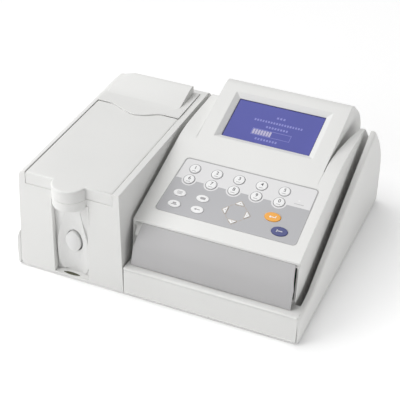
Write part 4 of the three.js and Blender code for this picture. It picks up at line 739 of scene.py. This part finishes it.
def shade_sheet():
    """A thin lens-shaped dark sheet with a rounded rim, painted shade of the gap under the shield."""
    turns = [math.pi * i / SHADE_SHEET_STEPS for i in range(SHADE_SHEET_STEPS + 1)]
    back = [(-SHADE_SHEET_WIDTH / 2 * math.cos(turn), SHADE_SHEET_DEPTH / 2 * math.sin(turn) ** SHADE_SHEET_POINTED)
            for turn in turns]
    outline = back + [(x, -y) for x, y in reversed(back[1:-1])]
    rim = [(x * SHADE_SHEET_RIM[0], y * SHADE_SHEET_RIM[1]) for x, y in outline]
    on_floor = Matrix.Translation(CORNER) @ Matrix.Scale(MM, 4) @ Matrix.Translation((*SHADE_SHEET_AT, NICHE_FLOOR))
    mesh = loft([(outline, 0), (outline, SHADE_SHEET_THICK / 2), (rim, SHADE_SHEET_THICK)], on_floor)
    place("shade_sheet", mesh, "shade_sheet", bodies["sample_panel"], slots["sample_panel"])


aspirate_pad()
shade_sheet()


# Shells and inner parts with rounded edges

soften("base_tray", TRAY_EDGE)
soften("tower_housing", FINE_EDGE, inner=False)
soften("console_housing", SHELL_EDGE, bevel_from=RECESS_FROM, sharp_from=RECESS_FROM)
for node in ("lid", "printer_cover"):
    soften(node, SEAM_EDGE, inner=False)
soften("front_panel", FINE_EDGE)
soften("sample_panel", FINE_EDGE, "niche_panel")
for node in ("inner_deck", "pump_rotor", "flow_cell", "filter_wheel", "lamp_house", "printer_frame",
             "platen_roller", "paper_roll", "rear_fan", "fan_rotor", "mains_inlet", "power_rocker",
             "serial_port", "sipper_needle", "foot_front_left", "foot_front_right", "foot_rear_left",
             "foot_rear_right"):
    soften(node, FINE_EDGE)
for name, node in nodes.items():
    node.data.materials.clear()
    node.data.materials.append(finishes[slots[name]])


# Camera, light and floor

def add_camera():
    a, e, r = CAMERA_AZIMUTH, CAMERA_ELEVATION, CAMERA_ROLL
    back = Vector((math.sin(a) * math.cos(e), -math.cos(a) * math.cos(e), math.sin(e)))
    level = Vector((math.cos(a), math.sin(a), 0))
    upright = back.cross(level)
    right = math.cos(r) * level + math.sin(r) * upright
    up = -math.sin(r) * level + math.cos(r) * upright
    data = bpy.data.cameras.new("camera")
    data.lens = CAMERA_LENS
    data.sensor_width = SENSOR
    data.clip_end = CAMERA_REACH
    camera = bpy.data.objects.new("camera", data)
    bpy.context.scene.collection.objects.link(camera)
    turn = Matrix((right, up, back)).transposed().to_4x4()
    camera.matrix_world = Matrix.Translation(CORNER + CAMERA_AT) @ turn
    bpy.context.scene.camera = camera


def add_light(name, kind, away, power):
    """A light that shines from a point or direction towards the object's middle."""
    data = bpy.data.lights.new(name, kind)
    data.energy = power
    light = bpy.data.objects.new(name, data)
    bpy.context.scene.collection.objects.link(light)
    light.location = away
    light.rotation_euler = (-Vector(away)).to_track_quat("-Z", "Y").to_euler()
    return data


def add_panel(name, away, power, size):
    """A soft rectangular light."""
    data = add_light(name, "AREA", away, power)
    data.shape = "RECTANGLE"
    data.size, data.size_y = size


def camera_share(tree, low, high):
    """A number that is low for diffuse rays, and high for camera, gloss and glass rays."""
    rays = tree.nodes.new("ShaderNodeLightPath")
    seen = tree.nodes.new("ShaderNodeMath")
    seen.operation = "MAXIMUM"
    seen_all = tree.nodes.new("ShaderNodeMath")
    seen_all.operation = "MAXIMUM"
    spread = tree.nodes.new("ShaderNodeMapRange")
    spread.inputs["To Min"].default_value = low
    spread.inputs["To Max"].default_value = high
    tree.links.new(rays.outputs["Is Camera Ray"], seen.inputs[0])
    tree.links.new(rays.outputs["Is Glossy Ray"], seen.inputs[1])
    tree.links.new(seen.outputs[0], seen_all.inputs[0])
    tree.links.new(rays.outputs["Is Transmission Ray"], seen_all.inputs[1])
    tree.links.new(seen_all.outputs[0], spread.inputs["Value"])
    return spread.outputs["Result"]


def add_floor():
    """A white floor that keeps the shadow, lifted to plain white where the camera sees it."""
    mesh = bpy.data.meshes.new("floor")
    corners = rectangle(-FLOOR_REACH, -FLOOR_REACH, FLOOR_REACH, FLOOR_REACH)
    mesh.from_pydata([(x, y, 0) for x, y in corners], [], [(0, 1, 2, 3)])
    floor = bpy.data.objects.new("floor", mesh)
    bpy.context.scene.collection.objects.link(floor)
    material, shader = principled("floor", (FLOOR_TONE, FLOOR_TONE, FLOOR_TONE), roughness=0.9, specular=0.0)
    shader.inputs["Emission Color"].default_value = (1, 1, 1, 1)
    link(material, camera_share(material.node_tree, 0.0, FLOOR_LIFT), shader.inputs["Emission Strength"])
    mesh.materials.append(material)


def set_world():
    world = bpy.data.worlds.new("world")
    bpy.context.scene.world = world
    world.use_nodes = True
    tree = world.node_tree
    background = tree.nodes["Background"]
    background.inputs["Color"].default_value = (1, 1, 1, 1)
    tree.links.new(camera_share(tree, WORLD_FILL, 1.0), background.inputs["Strength"])


add_camera()
add_light("key", "SUN", KEY_FROM, KEY_STRENGTH).angle = KEY_SOFTNESS
add_panel("front", FRONT_AT, FRONT_POWER, FRONT_SIZE)
add_panel("bounce", BOUNCE_AT, BOUNCE_POWER, BOUNCE_SIZE)
add_floor()
set_world()
bpy.context.scene.view_settings.view_transform = "Standard"
